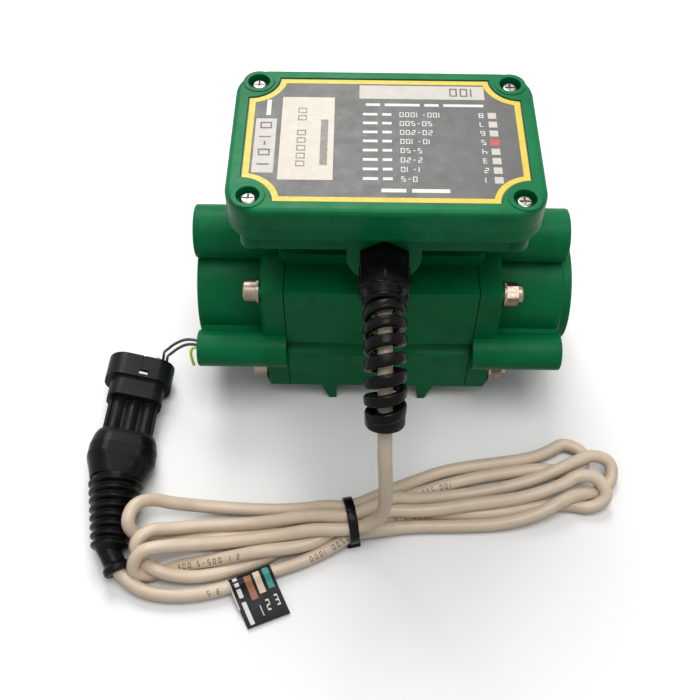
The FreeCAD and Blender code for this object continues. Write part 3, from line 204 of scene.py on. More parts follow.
SHEATH = cable_sheath()
FILM = label_film()
BORDER_YELLOW = printed("border yellow", (0.640, 0.470, 0.022), 0.42)
PAPER_CREAM = printed("sticker cream", (0.600, 0.550, 0.470), 0.55, 0.90)
PAPER_WHITE = printed("field white", (0.500, 0.470, 0.430), 0.50, 0.90)
PRINT_PALE = printed("print pale", (0.640, 0.640, 0.610))
PRINT_DARK = printed("print dark", (0.050, 0.048, 0.046))
PRINT_GREY = printed("print grey", (0.190, 0.178, 0.165))
PEN_DARK = printed("pen dark", (0.075, 0.072, 0.076))
MARK_RED = printed("mark red", (0.400, 0.062, 0.036))
BAND_BROWN = printed("band brown", (0.270, 0.092, 0.030))
BAND_CREAM = printed("band cream", (0.620, 0.510, 0.350))
BAND_TEAL = printed("band teal", (0.012, 0.240, 0.190))
FLAG_FILM = black_plastic("flag film", (0.0060, 0.0066, 0.0095), 0.30, 0.3, 0.006)


def plain_moulding(name, colour, shine, **sockets):
    """A plain moulded or lacquered piece, a little uneven."""
    part = Finish(name, colour, shine, **sockets)
    part.tint(part.speckle(5, 3), 0.4, 0.8, tuple(min(1, c * 1.25) for c in colour))
    part.dull(part.speckle(3, 3), 0.3, 0.7, shine - 0.05, shine + 0.10)
    part.relief(part.speckle(0.5, 2), 0.012, 0.5)
    return part.material


LINER = plain_moulding("liner white", (0.62, 0.62, 0.58), 0.30)
SPOOL = plain_moulding("spool black", (0.02, 0.02, 0.02), 0.5)
WINDING = bright_steel("winding copper", (0.60, 0.26, 0.12), 0.35, (1, 1, 6))
IRON = bright_steel("core iron", (0.30, 0.30, 0.30), 0.55, (1, 1, 1))
ELECTRODE = bright_steel("electrode steel", (0.62, 0.62, 0.61), 0.25, (1, 1, 1))
BOARD = plain_moulding("board lacquer", (0.010, 0.110, 0.040), 0.30)
CHIPS = plain_moulding("board parts", (0.030, 0.030, 0.032), 0.45)
TERMINAL = plain_moulding("terminal green", (0.020, 0.180, 0.070), 0.40)
RETAINER = plain_moulding("plug retainer", (0.420, 0.400, 0.370), 0.45)
PIN = bright_steel("pin tin", (0.70, 0.62, 0.42), 0.30, (1, 0.2, 1))
WIRE_SEAL = plain_moulding("wire seal", (0.26, 0.08, 0.05), 0.6)
WIRE_GREY = plain_moulding("wire grey", (0.050, 0.050, 0.055), 0.45)
WIRE_EARTH = plain_moulding("wire yellow green", (0.420, 0.560, 0.030), 0.42)
SEAM = plain_moulding("seam shadow", (0.001, 0.006, 0.003), 0.7, Specular_IOR_Level=0.05)

NODE_FINISHES = {
    "meter_body": HOUSING, "outlet_cap": HOUSING, "inlet_cap": HOUSING, "port_seals": RUBBER,
    "tie_bolts": BOLT_STEEL, "bolt_washers": BOLT_STEEL, "lock_nuts": BOLT_STEEL,
    "flow_liner": LINER, "electrodes": ELECTRODE, "coil_spools": SPOOL, "coil_windings": WINDING,
    "coil_cores": IRON, "coil_cover": HOUSING, "cover_screws": SCREW_STEEL,
    "box_base": HOUSING, "pedestal_screws": SCREW_STEEL, "box_lid": LID, "lid_screws": SCREW_STEEL,
    "lid_seal": RUBBER, "label_plate": FILM, "circuit_board": BOARD, "board_screws": SCREW_STEEL,
    "board_parts": CHIPS, "terminal_block": TERMINAL, "gland_body": GLAND_BLACK,
    "gland_washer": RUBBER, "gland_locknut": GLAND_BLACK, "gland_sleeve": RUBBER,
    "gland_spiral_nut": GLAND_BLACK, "cable_hank": SHEATH, "cable_tie": TIE_NYLON,
    "cable_lead": SHEATH, "cable_tail": SHEATH, "cable_flag": FLAG_FILM, "plug_housing": PLUG_BLACK,
    "plug_lock": RETAINER, "plug_pins": PIN, "wire_seals": WIRE_SEAL, "plug_boot": BOOT_RUBBER,
    "tag_wire": WIRE_GREY,
}
for node, finish in NODE_FINISHES.items():
    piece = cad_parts[node]
    for slot in piece.material_slots:
        slot.material = finish


# The cable's route, in millimetres: out of the gland, down through its spiral, seven times
# under the tie as a loose hank of three loops each side, and left to the plug's boot.
CABLE_ROUTE = [
    (-1.8, -25.0, 94.5), (-1.8, -45.2, 94.7), (-1.7, -60.1, 93.7), (-1.6, -72.8, 89.7),
    (-1.4, -81.7, 82.5), (-1.2, -89.7, 69.6), (-0.8, -94.4, 56.9), (0.3, -97.1, 37.7),
    (-0.3, -97.9, 24.6), (-4.7, -98.2, 16.2), (-10.4, -97.5, 11.8), (-17.2, -98.4, 11.7),
    (-26.9, -97.8, 10.7), (-40.0, -99.1, 7.1), (-55.5, -101.2, 6.5), (-73.5, -104.1, 9.2),
    (-83.8, -106.4, 12.7), (-91.7, -108.8, 13.8), (-95.0, -114.3, 7.3), (-88.7, -114.3, 2.6),
    (-78.7, -109.8, 2.6), (-62.5, -107.9, 4.6), (-46.9, -105.8, 8.0), (-33.5, -103.6, 6.5),
    (-24.9, -100.5, 5.9), (-16.9, -94.9, 7.8), (-8.6, -91.6, 9.1), (2.9, -87.7, 7.2),
    (16.9, -88.3, 7.6), (36.8, -84.6, 7.3), (56.0, -81.4, 6.1), (72.2, -76.1, 7.4),
    (78.3, -72.5, 9.6), (86.4, -73.2, 9.4), (90.8, -80.2, 5.6), (83.4, -83.9, 2.6),
    (75.6, -82.2, 2.7), (63.7, -82.5, 2.6), (45.4, -86.5, 2.6), (26.2, -86.8, 2.6),
    (5.8, -87.7, 2.6), (-6.4, -91.7, 3.5), (-17.0, -94.1, 2.9), (-23.0, -92.5, 2.6),
    (-33.6, -93.1, 2.6), (-48.7, -98.0, 2.6), (-68.5, -98.3, 2.6), (-83.9, -98.5, 2.6),
    (-90.5, -98.4, 3.1), (-94.7, -100.3, 7.9), (-97.4, -98.9, 16.2), (-95.5, -91.3, 17.3),
    (-89.3, -87.3, 14.2), (-83.0, -87.0, 10.0), (-72.8, -86.0, 5.8), (-60.6, -85.8, 3.4),
    (-44.6, -86.3, 2.7), (-31.2, -86.7, 5.2), (-21.3, -87.7, 10.4), (-14.5, -89.3, 11.9),
    (-7.8, -86.5, 11.0), (4.1, -78.3, 6.3), (13.3, -72.6, 2.6), (25.5, -67.6, 2.6),
    (40.7, -64.8, 2.6), (60.2, -61.9, 2.7), (69.6, -58.3, 2.9), (75.8, -54.1, 3.3),
    (84.3, -58.0, 2.6), (82.4, -66.2, 2.6), (74.3, -68.8, 2.6), (67.6, -65.8, 2.6),
    (50.7, -68.2, 2.6), (31.5, -72.1, 2.6), (12.4, -78.7, 2.6), (-0.3, -84.1, 2.7),
    (-11.3, -87.9, 6.7), (-20.6, -91.3, 7.0), (-26.0, -95.2, 6.9), (-34.1, -99.1, 2.8),
    (-44.4, -106.2, 2.6), (-54.7, -110.6, 2.6), (-69.2, -114.6, 2.9), (-79.5, -114.9, 5.4),
    (-86.2, -113.6, 8.1), (-92.2, -109.3, 5.0), (-94.8, -104.3, 11.4), (-88.7, -98.8, 11.7),
    (-82.3, -97.5, 8.9), (-72.1, -95.0, 6.3), (-57.7, -93.3, 4.4), (-43.5, -92.6, 5.8),
    (-30.2, -91.8, 9.5), (-19.7, -93.2, 13.1), (-13.4, -94.0, 14.5), (-4.0, -89.1, 13.3),
    (3.5, -83.1, 10.2), (13.5, -82.6, 6.1), (26.2, -79.4, 2.7), (43.3, -76.7, 2.6),
    (60.4, -72.5, 3.8), (71.0, -69.1, 7.5), (79.9, -64.6, 7.3), (86.2, -61.9, 7.4),
    (93.7, -64.0, 5.8), (93.8, -71.3, 2.6), (87.8, -76.5, 2.6), (79.1, -79.0, 5.9),
    (72.6, -82.3, 8.0), (62.3, -87.8, 5.6), (48.0, -91.2, 2.9), (31.4, -92.1, 2.6),
    (10.7, -92.4, 2.6), (-1.6, -95.0, 4.2), (-11.6, -97.4, 7.2), (-18.9, -101.8, 3.7),
    (-30.9, -107.8, 2.6), (-46.3, -113.2, 3.0), (-59.1, -119.0, 3.1), (-73.7, -122.1, 2.9),
    (-85.8, -121.6, 3.1), (-94.6, -118.7, 4.1), (-101.4, -112.0, 6.2),
]
CABLE_D = 5.2


def spline_along(name, route, diameter, finish, sides=8):
    """A round cord on one smooth spline with the route's points as its control points."""
    curve = bpy.data.curves.new(name, 'CURVE')
    curve.dimensions = '3D'
    curve.bevel_depth = diameter / 2 * MM
    curve.bevel_resolution = sides
    curve.resolution_u = 6
    curve.use_fill_caps = True
    line = curve.splines.new('NURBS')
    line.points.add(len(route) - 1)
    for point, place in zip(line.points, route):
        point.co = (place[0] * MM, place[1] * MM, place[2] * MM, 1)
    line.order_u = 3
    line.use_endpoint_u = True
    curve.materials.append(finish)
    cord = bpy.data.objects.new(name, curve)
    bpy.context.collection.objects.link(cord)
    return cord


def centreline(cord):
    """The smooth line that a cord follows, as points in millimetres."""
    bare = cord.data.copy()
    bare.bevel_depth = 0
    holder = bpy.data.objects.new("centreline", bare)
    line = bpy.data.meshes.new_from_object(holder)
    points = [v.co / MM for v in line.vertices]
    bpy.data.objects.remove(holder)
    bpy.data.meshes.remove(line)
    bpy.data.curves.remove(bare)
    return points


cable = spline_along("cable", CABLE_ROUTE, CABLE_D, SHEATH)

# Shaping helpers


def start_editing(name, finish):
    mesh = bpy.data.meshes.new(name)
    piece = bpy.data.objects.new(name, mesh)
    bpy.context.collection.objects.link(piece)
    mesh.materials.append(finish)
    bpy.ops.object.select_all(action='DESELECT')
    bpy.context.view_layer.objects.active = piece
    piece.select_set(True)
    bpy.ops.object.mode_set(mode='EDIT')
    return piece


def done_editing():
    bpy.ops.object.mode_set(mode='OBJECT')
    bpy.ops.object.select_all(action='DESELECT')


def add_field(x0, x1, y0, y1, z):
    """A flat printed field, added in edit mode."""
    bpy.ops.mesh.select_all(action='DESELECT')
    middle = ((x0 + x1) / 2 * MM, (y0 + y1) / 2 * MM, z * MM)
    bpy.ops.mesh.primitive_plane_add(size=MM, location=middle)
    bpy.ops.transform.resize(value=(abs(x1 - x0), abs(y1 - y0), 1), center_override=middle)


def use_modifier(piece, kind, **values):
    bpy.ops.object.select_all(action='DESELECT')
    bpy.context.view_layer.objects.active = piece
    piece.select_set(True)
    step = piece.modifiers.new(kind.title(), kind)
    for key, value in values.items():
        setattr(step, key, value)
    bpy.ops.object.modifier_apply(modifier=step.name)
    bpy.ops.object.select_all(action='DESELECT')


def edit_again(piece):
    bpy.context.view_layer.objects.active = piece
    piece.select_set(True)
    bpy.ops.object.mode_set(mode='EDIT')


def shade_by_angle(piece, degrees):
    """Smooth shading that keeps edges sharper than an angle."""
    bpy.ops.object.select_all(action='DESELECT')
    piece.select_set(True)
    bpy.context.view_layer.objects.active = piece
    bpy.ops.object.shade_smooth_by_angle(angle=math.radians(degrees))
    bpy.ops.object.select_all(action='DESELECT')


def add_block(middle, size, turn=0.0):
    """A block added in edit mode: its size along x, y and z before it is turned about z."""
    bpy.ops.mesh.select_all(action='DESELECT')
    middle = [c * MM for c in middle]
    bpy.ops.mesh.primitive_cube_add(size=MM, location=middle, rotation=(0, 0, turn), scale=size)


def lay_patch(piece, columns, rows, place):
    """A small grid added in edit mode: place gives each corner's point from its shares across and up."""
    bpy.ops.mesh.select_all(action='DESELECT')
    bpy.ops.mesh.primitive_grid_add(x_subdivisions=columns, y_subdivisions=rows, size=2.0, location=(0, 0, 0))
    bpy.ops.object.mode_set(mode='OBJECT')
    for corner in piece.data.vertices:
        if corner.select:
            corner.co = place((corner.co.x + 1) / 2, (corner.co.y + 1) / 2) * MM
    bpy.ops.object.mode_set(mode='EDIT')


# Printed panel on the lid
plate_low, plate_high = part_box("label_plate")
PANEL_TOP = plate_high[2] / MM
PANEL_MIDDLE = (plate_low[0] + plate_high[0]) / 2 / MM
PANEL_HALF = ((plate_high[0] - plate_low[0]) / 2 / MM, (plate_high[1] - plate_low[1]) / 2 / MM)
NOTCH = 11.15            # radius of the corners cut back round the screws
NOTCH_OFF = 0.15         # its centre lies this far outside the plate's corner
PUNCH_DEPTH = 4.0
FILM_THICK = 0.5
COAT_THICK = 0.2
BORDER_INSIDE, BORDER_PROUD = 0.35, 0.04
GROUND_INSIDE, GROUND_PROUD = 2.5, 0.07
PRINT_PROUD = 0.08       # print starts this far above the plate
FIELD_LIFT = 0.02
INK_LIFT = 0.05          # ink that lies on a printed field


def panel_layer(name, finish, inside, top, thick):
    """A thin slab of the panel's outline, drawn in by inside, its corners cut back round the screws."""
    bpy.ops.mesh.primitive_cube_add(size=MM, location=(PANEL_MIDDLE * MM, 0, (top - thick / 2) * MM))
    slab = bpy.context.object
    slab.name = slab.data.name = name
    slab.scale = (2 * (PANEL_HALF[0] - inside), 2 * (PANEL_HALF[1] - inside), thick)
    bpy.ops.object.transform_apply(location=True, rotation=True, scale=True)
    for side_x in (-1, 1):
        for side_y in (-1, 1):
            x = PANEL_MIDDLE + side_x * (PANEL_HALF[0] + NOTCH_OFF)
            y = side_y * (PANEL_HALF[1] + NOTCH_OFF)
            bpy.ops.mesh.primitive_cylinder_add(vertices=96, radius=(NOTCH + inside) * MM,
                                                depth=PUNCH_DEPTH * MM,
                                                location=(x * MM, y * MM, PANEL_TOP * MM))
            punch = bpy.context.object
            use_modifier(slab, 'BOOLEAN', operation='DIFFERENCE', object=punch, solver='EXACT')
            bpy.data.objects.remove(punch)
    slab.data.materials.clear()
    slab.data.materials.append(finish)
    return slab


LAYOUT_SHIFT = -1.75     # the panel's layout is measured from the pipe's middle


def fields(name, finish, areas, lift):
    """Flat printed areas of one colour, each (x0, x1, y0, y1) in the panel's layout."""
    piece = start_editing(name, finish)
    for x0, x1, y0, y1 in areas:
        add_field(x0 + LAYOUT_SHIFT, x1 + LAYOUT_SHIFT, y0, y1, PANEL_TOP + PRINT_PROUD + lift)
    done_editing()
    return piece


# The print is generic: numerals of up to seven strokes, each stroke in parts of a
# numeral's width and height, and plain bars where words would be.
STROKES = {"t": (0.2, 0.8, 0.86, 1), "m": (0.2, 0.8, 0.43, 0.57), "b": (0.2, 0.8, 0, 0.14),
           "p": (0, 0.2, 0.5, 1), "q": (0.8, 1, 0.5, 1), "r": (0, 0.2, 0, 0.5), "s": (0.8, 1, 0, 0.5)}
NUMERALS = {"0": "tbpqrs", "1": "qs", "2": "tqmrb", "3": "tqmsb", "4": "pqms", "5": "tpmsb",
            "6": "tpmrsb", "7": "tqs", "8": "tmbpqrs", "9": "tmbpqs", "-": "m", " ": ""}
NUMERAL_WIDE = 0.74      # of its place in the row
BAR_LOW, BAR_HIGH = 0.14, 0.86
BAR_SHORT = 0.2          # a bar ends this far before its last place does
WORD_GAP = 0.7


def numerals(text):
    """Strokes of a row of numerals, one unit wide a place and one high."""
    return [(i + NUMERAL_WIDE * x0, i + NUMERAL_WIDE * x1, y0, y1)
            for i, sign in enumerate(text)
            for x0, x1, y0, y1 in (STROKES[key] for key in NUMERALS[sign])]


def bars(words):
    """Plain bars, one for each word of so many places."""
    places, at = [], 0.0
    for count in words:
        places.append((at, at + count - BAR_SHORT, BAR_LOW, BAR_HIGH))
        at += count + WORD_GAP
    return places


def upside_down(strokes, x_right, y_high, wide, tall):
    """Read from the panel's far side: the row starts at its right end."""
    return [(x_right - wide * x1, x_right - wide * x0, y_high - tall * y1, y_high - tall * y0)
            for x0, x1, y0, y1 in strokes]


def downwards(strokes, x_left, y_high, wide, tall):
    """Read from the panel's short side: the row starts at its far end."""
    return [(x_left + tall * y0, x_left + tall * y1, y_high - wide * x1, y_high - wide * x0)
            for x0, x1, y0, y1 in strokes]


STICKER = (-37.0, -18.2, -21.2, 21.2)
LONG_FIELD = (-9.3, 36.3, 20.8, 28.2)
SHORT_FIELD = (-46.0, -38.6, -18.0, 9.4)
RANGES = ("100-1000", "50-500", "20-200", "10-100", "5-50", "2-20", "1-10", "0-5")
FIRST_ROW, ROW_PITCH = 12.3, 4.66
RED_ROW = 3
SQUARE_X = 38.3
SQUARE_HALF = (1.5, 1.55)
RED_HALF = (1.7, 1.7)
TABLE_TALL = 2.5         # the table's numerals
RANGE_WIDE, RANGE_FROM = 2.0, 4.6
ROW_NUMBER_WIDE, ROW_NUMBER_X = 2.2, 35.2
UNIT_WIDE, UNIT_TALL, UNIT_X, UNIT_HIGH = 1.85, 1.8, 2.2, 0.95


def square(x, y, half):
    return (x - half[0], x + half[0], y - half[1], y + half[1])


def table_rows(rows):
    """Each row's number, its range and two bars for the unit."""
    lines = []
    for i, y in enumerate(rows):
        high = y + TABLE_TALL / 2
        right = RANGE_FROM + RANGE_WIDE * len(RANGES[i])
        lines += upside_down(numerals(RANGES[i]), right, high, RANGE_WIDE, TABLE_TALL)
        lines += upside_down(bars((2, 3)), UNIT_X, y + UNIT_HIGH, UNIT_WIDE, UNIT_TALL)
        lines += upside_down(numerals(str(len(rows) - i)), ROW_NUMBER_X, high, ROW_NUMBER_WIDE, TABLE_TALL)
    return lines


def panel_print():
    rows = [FIRST_ROW - ROW_PITCH * i for i in range(len(RANGES))]
    plain = [square(SQUARE_X, y, SQUARE_HALF) for i, y in enumerate(rows) if i != RED_ROW]
    heading = upside_down(bars((8, 3, 7, 3)), 35.6, 18.5, 1.86, 1.9)
    footing = upside_down(bars((6, 4)), 21.4, -24.6, 2.2, 2.4)
    field_name = downwards(bars((4,)), -42.9, 19.6, 2.2, 2.2)
    sticker_name = downwards(bars((6,)), -23.4, 9.2, 4.0, 3.6)
    sticker_number = downwards(numerals("00 00000"), -31.2, 15.4, 3.9, 3.2)
    short_entry = downwards(numerals("01-01"), -44.4, 7.6, 4.6, 4.2)
    long_entry = upside_down(numerals("100"), 34.0, 26.9, 3.8, 4.4)
    return [
        fields("panel_sticker", PAPER_CREAM, [STICKER], FIELD_LIFT),
        fields("panel_fields", PAPER_WHITE, [LONG_FIELD, SHORT_FIELD], FIELD_LIFT),
        fields("panel_squares", PAPER_WHITE, plain, FIELD_LIFT),
        fields("panel_mark", MARK_RED, [square(SQUARE_X, rows[RED_ROW], RED_HALF)], FIELD_LIFT),
        fields("panel_lettering", PRINT_PALE, heading + table_rows(rows) + footing + field_name, FIELD_LIFT),
        fields("sticker_lettering", PRINT_GREY, sticker_name + sticker_number, INK_LIFT),
        fields("pen_marks", PEN_DARK, short_entry + long_entry, INK_LIFT),
    ]


# Gland nut with its bend spiral, made upright and then bent along the cable
NUT_START = 14.4         # along the cable, from the cable's first point
NUT_LENGTH = 10.0
NUT_FLATS = 17.0
NUT_EDGE = 0.5
RIB_PITCH = 0.98
RIBS_EACH_WAY = 4        # either side of a flat's middle one
RIB = (0.55, 0.52, 7.4)
RIB_PROUD = 0.05         # a rib's middle lies this far outside the flat
RIB_LOWER = 0.2
COLLAR_SECTION = [(4.2, -0.2), (8.5, -0.2), (8.5, 0.5), (8.1, 0.9), (7.75, 3.6), (8.0, 4.0), (8.0, 4.6),
                  (7.5, 5.2), (6.6, 5.6), (4.2, 5.6)]                       # radius, height over the nut
END_CAP_START = 65.9
END_CAP_SECTION = [(3.0, 0.0), (6.6, 0.0), (7.2, 0.5), (7.3, 1.0), (7.3, 4.8), (7.0, 5.4), (3.2, 5.4),
                   (3.0, 4.8)]                                              # radius, height over its start
SPIRAL_START = 30.6
SPIRAL_PITCH = 5.75
SPIRAL_TURNS = 6.35
SPIRAL_STEPS = 44        # in each turn
SPIRAL_OUT = 7.6
STRIP_DEEP = 2.7
STRIP_WIDE = 3.7
STRIP_ROUND = 1.0
GUIDE_POINTS = 12        # of the cable's route
SPIRAL_TAPER = (1.0, 1.0, 1.0, 0.965, 0.965, 0.94)       # at the guide's points, the last one for the rest


def straight_nut():
    """The ribbed nut, upright on the z axis, cable side up."""
    middle = NUT_START + NUT_LENGTH / 2
    bpy.ops.mesh.primitive_cylinder_add(vertices=6, radius=NUT_FLATS / math.sqrt(3) * MM,
                                        depth=NUT_LENGTH * MM, location=(0, 0, middle * MM), rotation=(0, 0, 0))
    nut = bpy.context.object
    nut.data.materials.append(GLAND_BLACK)
    bpy.ops.object.transform_apply(location=True, rotation=True, scale=True)
    use_modifier(nut, 'BEVEL', width=NUT_EDGE * MM, segments=3,
                 limit_method='ANGLE', angle_limit=math.radians(40))
    edit_again(nut)
    out = NUT_FLATS / 2 + RIB_PROUD
    for side in range(6):
        turn = math.radians(60 * side)
        for i in range(-RIBS_EACH_WAY, RIBS_EACH_WAY + 1):
            along = i * RIB_PITCH
            x = math.cos(turn) * out - math.sin(turn) * along
            y = math.sin(turn) * out + math.cos(turn) * along
            add_block((x, y, middle - RIB_LOWER), RIB, turn)
    done_editing()
    return nut


def turned(name, section, start, finish, steps=64):
    """A ring turned about the z axis from its section's corners, (radius, height over start)."""
    piece = start_editing(name, finish)
    done_editing()
    corners = [(r * MM, 0, (start + height) * MM) for r, height in section]
    piece.data.from_pydata(corners, [(i, (i + 1) % len(corners)) for i in range(len(corners))], [])
    edit_again(piece)
    bpy.ops.mesh.select_all(action='SELECT')
    bpy.ops.mesh.spin(steps=steps, angle=math.tau, center=(0, 0, 0), axis=(0, 0, 1))
    bpy.ops.mesh.select_all(action='SELECT')
    bpy.ops.mesh.remove_doubles(threshold=0.00001)
    bpy.ops.mesh.normals_make_consistent(inside=False)
    done_editing()
    return piece


def spiral_strip():
    """One round-edged strip wound on the z axis by a screw, its ends closed."""
    bpy.ops.mesh.primitive_plane_add(size=MM, rotation=(math.radians(90), 0, 0),
                                     location=((SPIRAL_OUT - STRIP_DEEP / 2) * MM, 0, SPIRAL_START * MM))
    strip = bpy.context.object
    strip.name = "spiral_strip"
    strip.data.materials.append(GLAND_BLACK)
    strip.scale = (STRIP_DEEP, STRIP_WIDE, 1)
    bpy.ops.object.transform_apply(location=True, rotation=True, scale=True)
    bpy.ops.object.mode_set(mode='EDIT')
    bpy.ops.mesh.select_all(action='SELECT')
    bpy.ops.mesh.bevel(offset=STRIP_ROUND * MM, segments=4, affect='VERTICES')
    bpy.ops.mesh.delete(type='ONLY_FACE')
    done_editing()
    steps = int(SPIRAL_STEPS * SPIRAL_TURNS)
    use_modifier(strip, 'SCREW', axis='Z', angle=math.tau * SPIRAL_TURNS, steps=steps, render_steps=steps,
                 screw_offset=SPIRAL_PITCH * SPIRAL_TURNS * MM, use_smooth_shade=True)
    edit_again(strip)
    bpy.ops.mesh.select_mode(type='EDGE')
    bpy.ops.mesh.select_all(action='DESELECT')
    bpy.ops.mesh.select_non_manifold()
    bpy.ops.mesh.fill()
    bpy.ops.mesh.select_all(action='SELECT')
    bpy.ops.mesh.normals_make_consistent(inside=False)
    done_editing()
    return strip


def gland_nut():
    """Nut, collar, spiral strip and end cap as one moulding, bent along the cable."""
    nut = straight_nut()
    collar = turned("collar", COLLAR_SECTION, NUT_START + NUT_LENGTH, GLAND_BLACK)
    cap = turned("end cap", END_CAP_SECTION, END_CAP_START, GLAND_BLACK)
    strip = spiral_strip()
    for part in (collar, cap, nut):
        shade_by_angle(part, 35)
    for part in (nut, collar, cap, strip):
        part.select_set(True)
    bpy.context.view_layer.objects.active = nut
    bpy.ops.object.join()
    nut.name = nut.data.name = "spiral_nut"
    guide = spline_along("spiral guide", CABLE_ROUTE[:GUIDE_POINTS], CABLE_D, SHEATH)
    guide.data.bevel_depth = 0
    guide.data.use_radius = True
    guide.data.resolution_u = 24
    for i, point in enumerate(guide.data.splines[0].points):
        point.radius = SPIRAL_TAPER[min(i, len(SPIRAL_TAPER) - 1)]
    bpy.context.view_layer.update()
    use_modifier(nut, 'CURVE', object=guide, deform_axis='POS_Z')
    bpy.data.objects.remove(guide)
    return nut


# Cable tie round the hank
TIE_AT = (-12.4, -93.2, 9.2)
TIE_TURN = math.radians(12)
TIE_INSIDE = 7.95
BAND_WIDE, BAND_THICK, BAND_EDGE = 3.6, 1.15, 0.28
HEAD_TURN = math.radians(-118)       # round the band, low at the front
HEAD_OUT = TIE_INSIDE + 2.0
HEAD = (5.3, 4.6, 3.5)
TAIL_TURN = HEAD_TURN + 0.42
TAIL_OUT = HEAD_OUT + 0.1
TAIL = (3.4, 3.4, 1.1)
TAIL_TIP = -0.12                     # radians that the tail is turned from the band's own line
TIE_EDGE = 0.35
LOWEST = 0.02                        # the band's foot is flattened this far above the floor


def cable_tie():
    """A flat band pulled round the hank, its head low at the front and its tail cut short."""
    bpy.ops.mesh.primitive_cylinder_add(vertices=96, radius=TIE_INSIDE * MM, depth=BAND_WIDE * MM,
                                        end_fill_type='NOTHING', location=(0, 0, 0),
                                        rotation=(0, math.radians(90), 0))
    band = bpy.context.object
    band.name = band.data.name = "tie_band"
    band.data.materials.append(TIE_NYLON)
    bpy.ops.object.transform_apply(location=True, rotation=True, scale=True)
    use_modifier(band, 'SOLIDIFY', thickness=BAND_THICK * MM, offset=1)
    use_modifier(band, 'BEVEL', width=BAND_EDGE * MM, segments=2,
                 limit_method='ANGLE', angle_limit=math.radians(50))
    edit_again(band)
    for turn, out, size, tip in ((HEAD_TURN, HEAD_OUT, HEAD, 0.0), (TAIL_TURN, TAIL_OUT, TAIL, TAIL_TIP)):
        bpy.ops.mesh.select_all(action='DESELECT')
        middle = (0, math.cos(turn) * out * MM, math.sin(turn) * out * MM)
        bpy.ops.mesh.primitive_cube_add(size=MM, location=middle, scale=size,
                                        rotation=(turn + tip + math.pi / 2, 0, 0))
        bpy.ops.mesh.bevel(offset=TIE_EDGE * MM, segments=2)
    done_editing()
    band.location = [c * MM for c in TIE_AT]
    band.rotation_euler = (0, 0, TIE_TURN)
    bpy.context.view_layer.objects.active = band
    band.select_set(True)
    bpy.ops.object.transform_apply(location=True, rotation=True, scale=True)
    shade_by_angle(band, 35)
    for corner in band.data.vertices:
        corner.co.z = max(corner.co.z, LOWEST * MM)
    return band


# Flag label folded over the cable
FLAG_NEAR = Vector((-57.6, -118.2, 3.2))
FLAG_FAR = Vector((-42.4, -111.6, 3.4))
FLAG_OUT = 17.5
FLAG_LEAN = 0.058                    # the leaves lean this share along the cable
FLAG_THICK = 0.16
FLAG_STEPS = 8
CURL, CURL_FROM, CURL_RISE = 0.9, 0.45, 0.3
# The film's section, (out from the cable, height): the lower leaf from its edge
# inwards and round the back of the cable, then the upper leaf out to its edge.
LOWER_LEAF = [(17.3, 0.45), (10.8, 0.40), (5.0, 0.38), (1.2, 0.45), (-1.0, 0.60), (-2.3, 1.55), (-2.75, 3.1)]
UPPER_LEAF = [(-2.2, 4.75), (-1.2, 5.6), (0.0, 5.87), (1.2, 5.65), (2.3, 4.95), (3.6, 4.05), (5.7, 3.1),
              (8.5, 2.3), (11.6, 1.7), (14.6, 1.25), (17.5, 1.05)]
# Printed areas on the upper leaf, (u0, u1, v0, v1) as on_flag takes them.
FLAG_AREAS = (("flag_brown", BAND_BROWN, (0.335, 0.49, 0.16, 0.68)),
              ("flag_cream", BAND_CREAM, (0.555, 0.705, 0.13, 0.64)),
              ("flag_teal", BAND_TEAL, (0.785, 0.925, 0.11, 0.62)),
              ("flag_backing", PAPER_WHITE, (-0.030, 0.012, 0.10, 0.74)))
FLAG_ROW = (0.07, 0.14, 0.08, 0.89)                      # row of bars: u, width, v, length
FLAG_NUMERALS = (("1", 0.36, 0.77), ("2", 0.58, 0.73), ("3", 0.80, 0.71))
FLAG_NUMERAL = (0.13, 0.14)                              # along the cable and outwards
INK_OVER_FILM = 0.16
ROWS_OVER_FILM = 28                                      # grid rows from the fold to the edge


def flag_axes():
    """Along the cable, and outwards in the plane of the leaves."""
    way = (FLAG_FAR - FLAG_NEAR).normalized()
    square_on = Vector((way.y, -way.x, 0)).normalized()
    return way, (square_on + FLAG_LEAN * Vector((way.x, way.y, 0))).normalized()


def flag_curl(u, far_out):
    """How far the leaves' outer corner is drawn in: most at the near end."""
    return CURL * (1 - u) * max(0.0, far_out / FLAG_OUT - CURL_FROM) ** 1.5


def on_flag(u, v, lift):
    """A point on top of the folded film: u from 0 to 1 along the cable, v from 0
    at the fold to 1 at the outer edge, lifted off it."""
    out = flag_axes()[1]
    place = v * (len(UPPER_LEAF) - 1)
    i = min(int(place), len(UPPER_LEAF) - 2)
    (o0, z0), (o1, z1) = UPPER_LEAF[i], UPPER_LEAF[i + 1]
    t = place - i
    o, z = o0 + (o1 - o0) * t, z0 + (z1 - z0) * t
    flat = Vector((o1 - o0, z1 - z0)).normalized()
    start = FLAG_NEAR.lerp(FLAG_FAR, u)
    curl = flag_curl(u, o)
    return (Vector((start.x, start.y, 0)) + out * (o - flat.y * lift - curl)
            + Vector((0, 0, z + flat.x * lift + CURL_RISE * curl)))


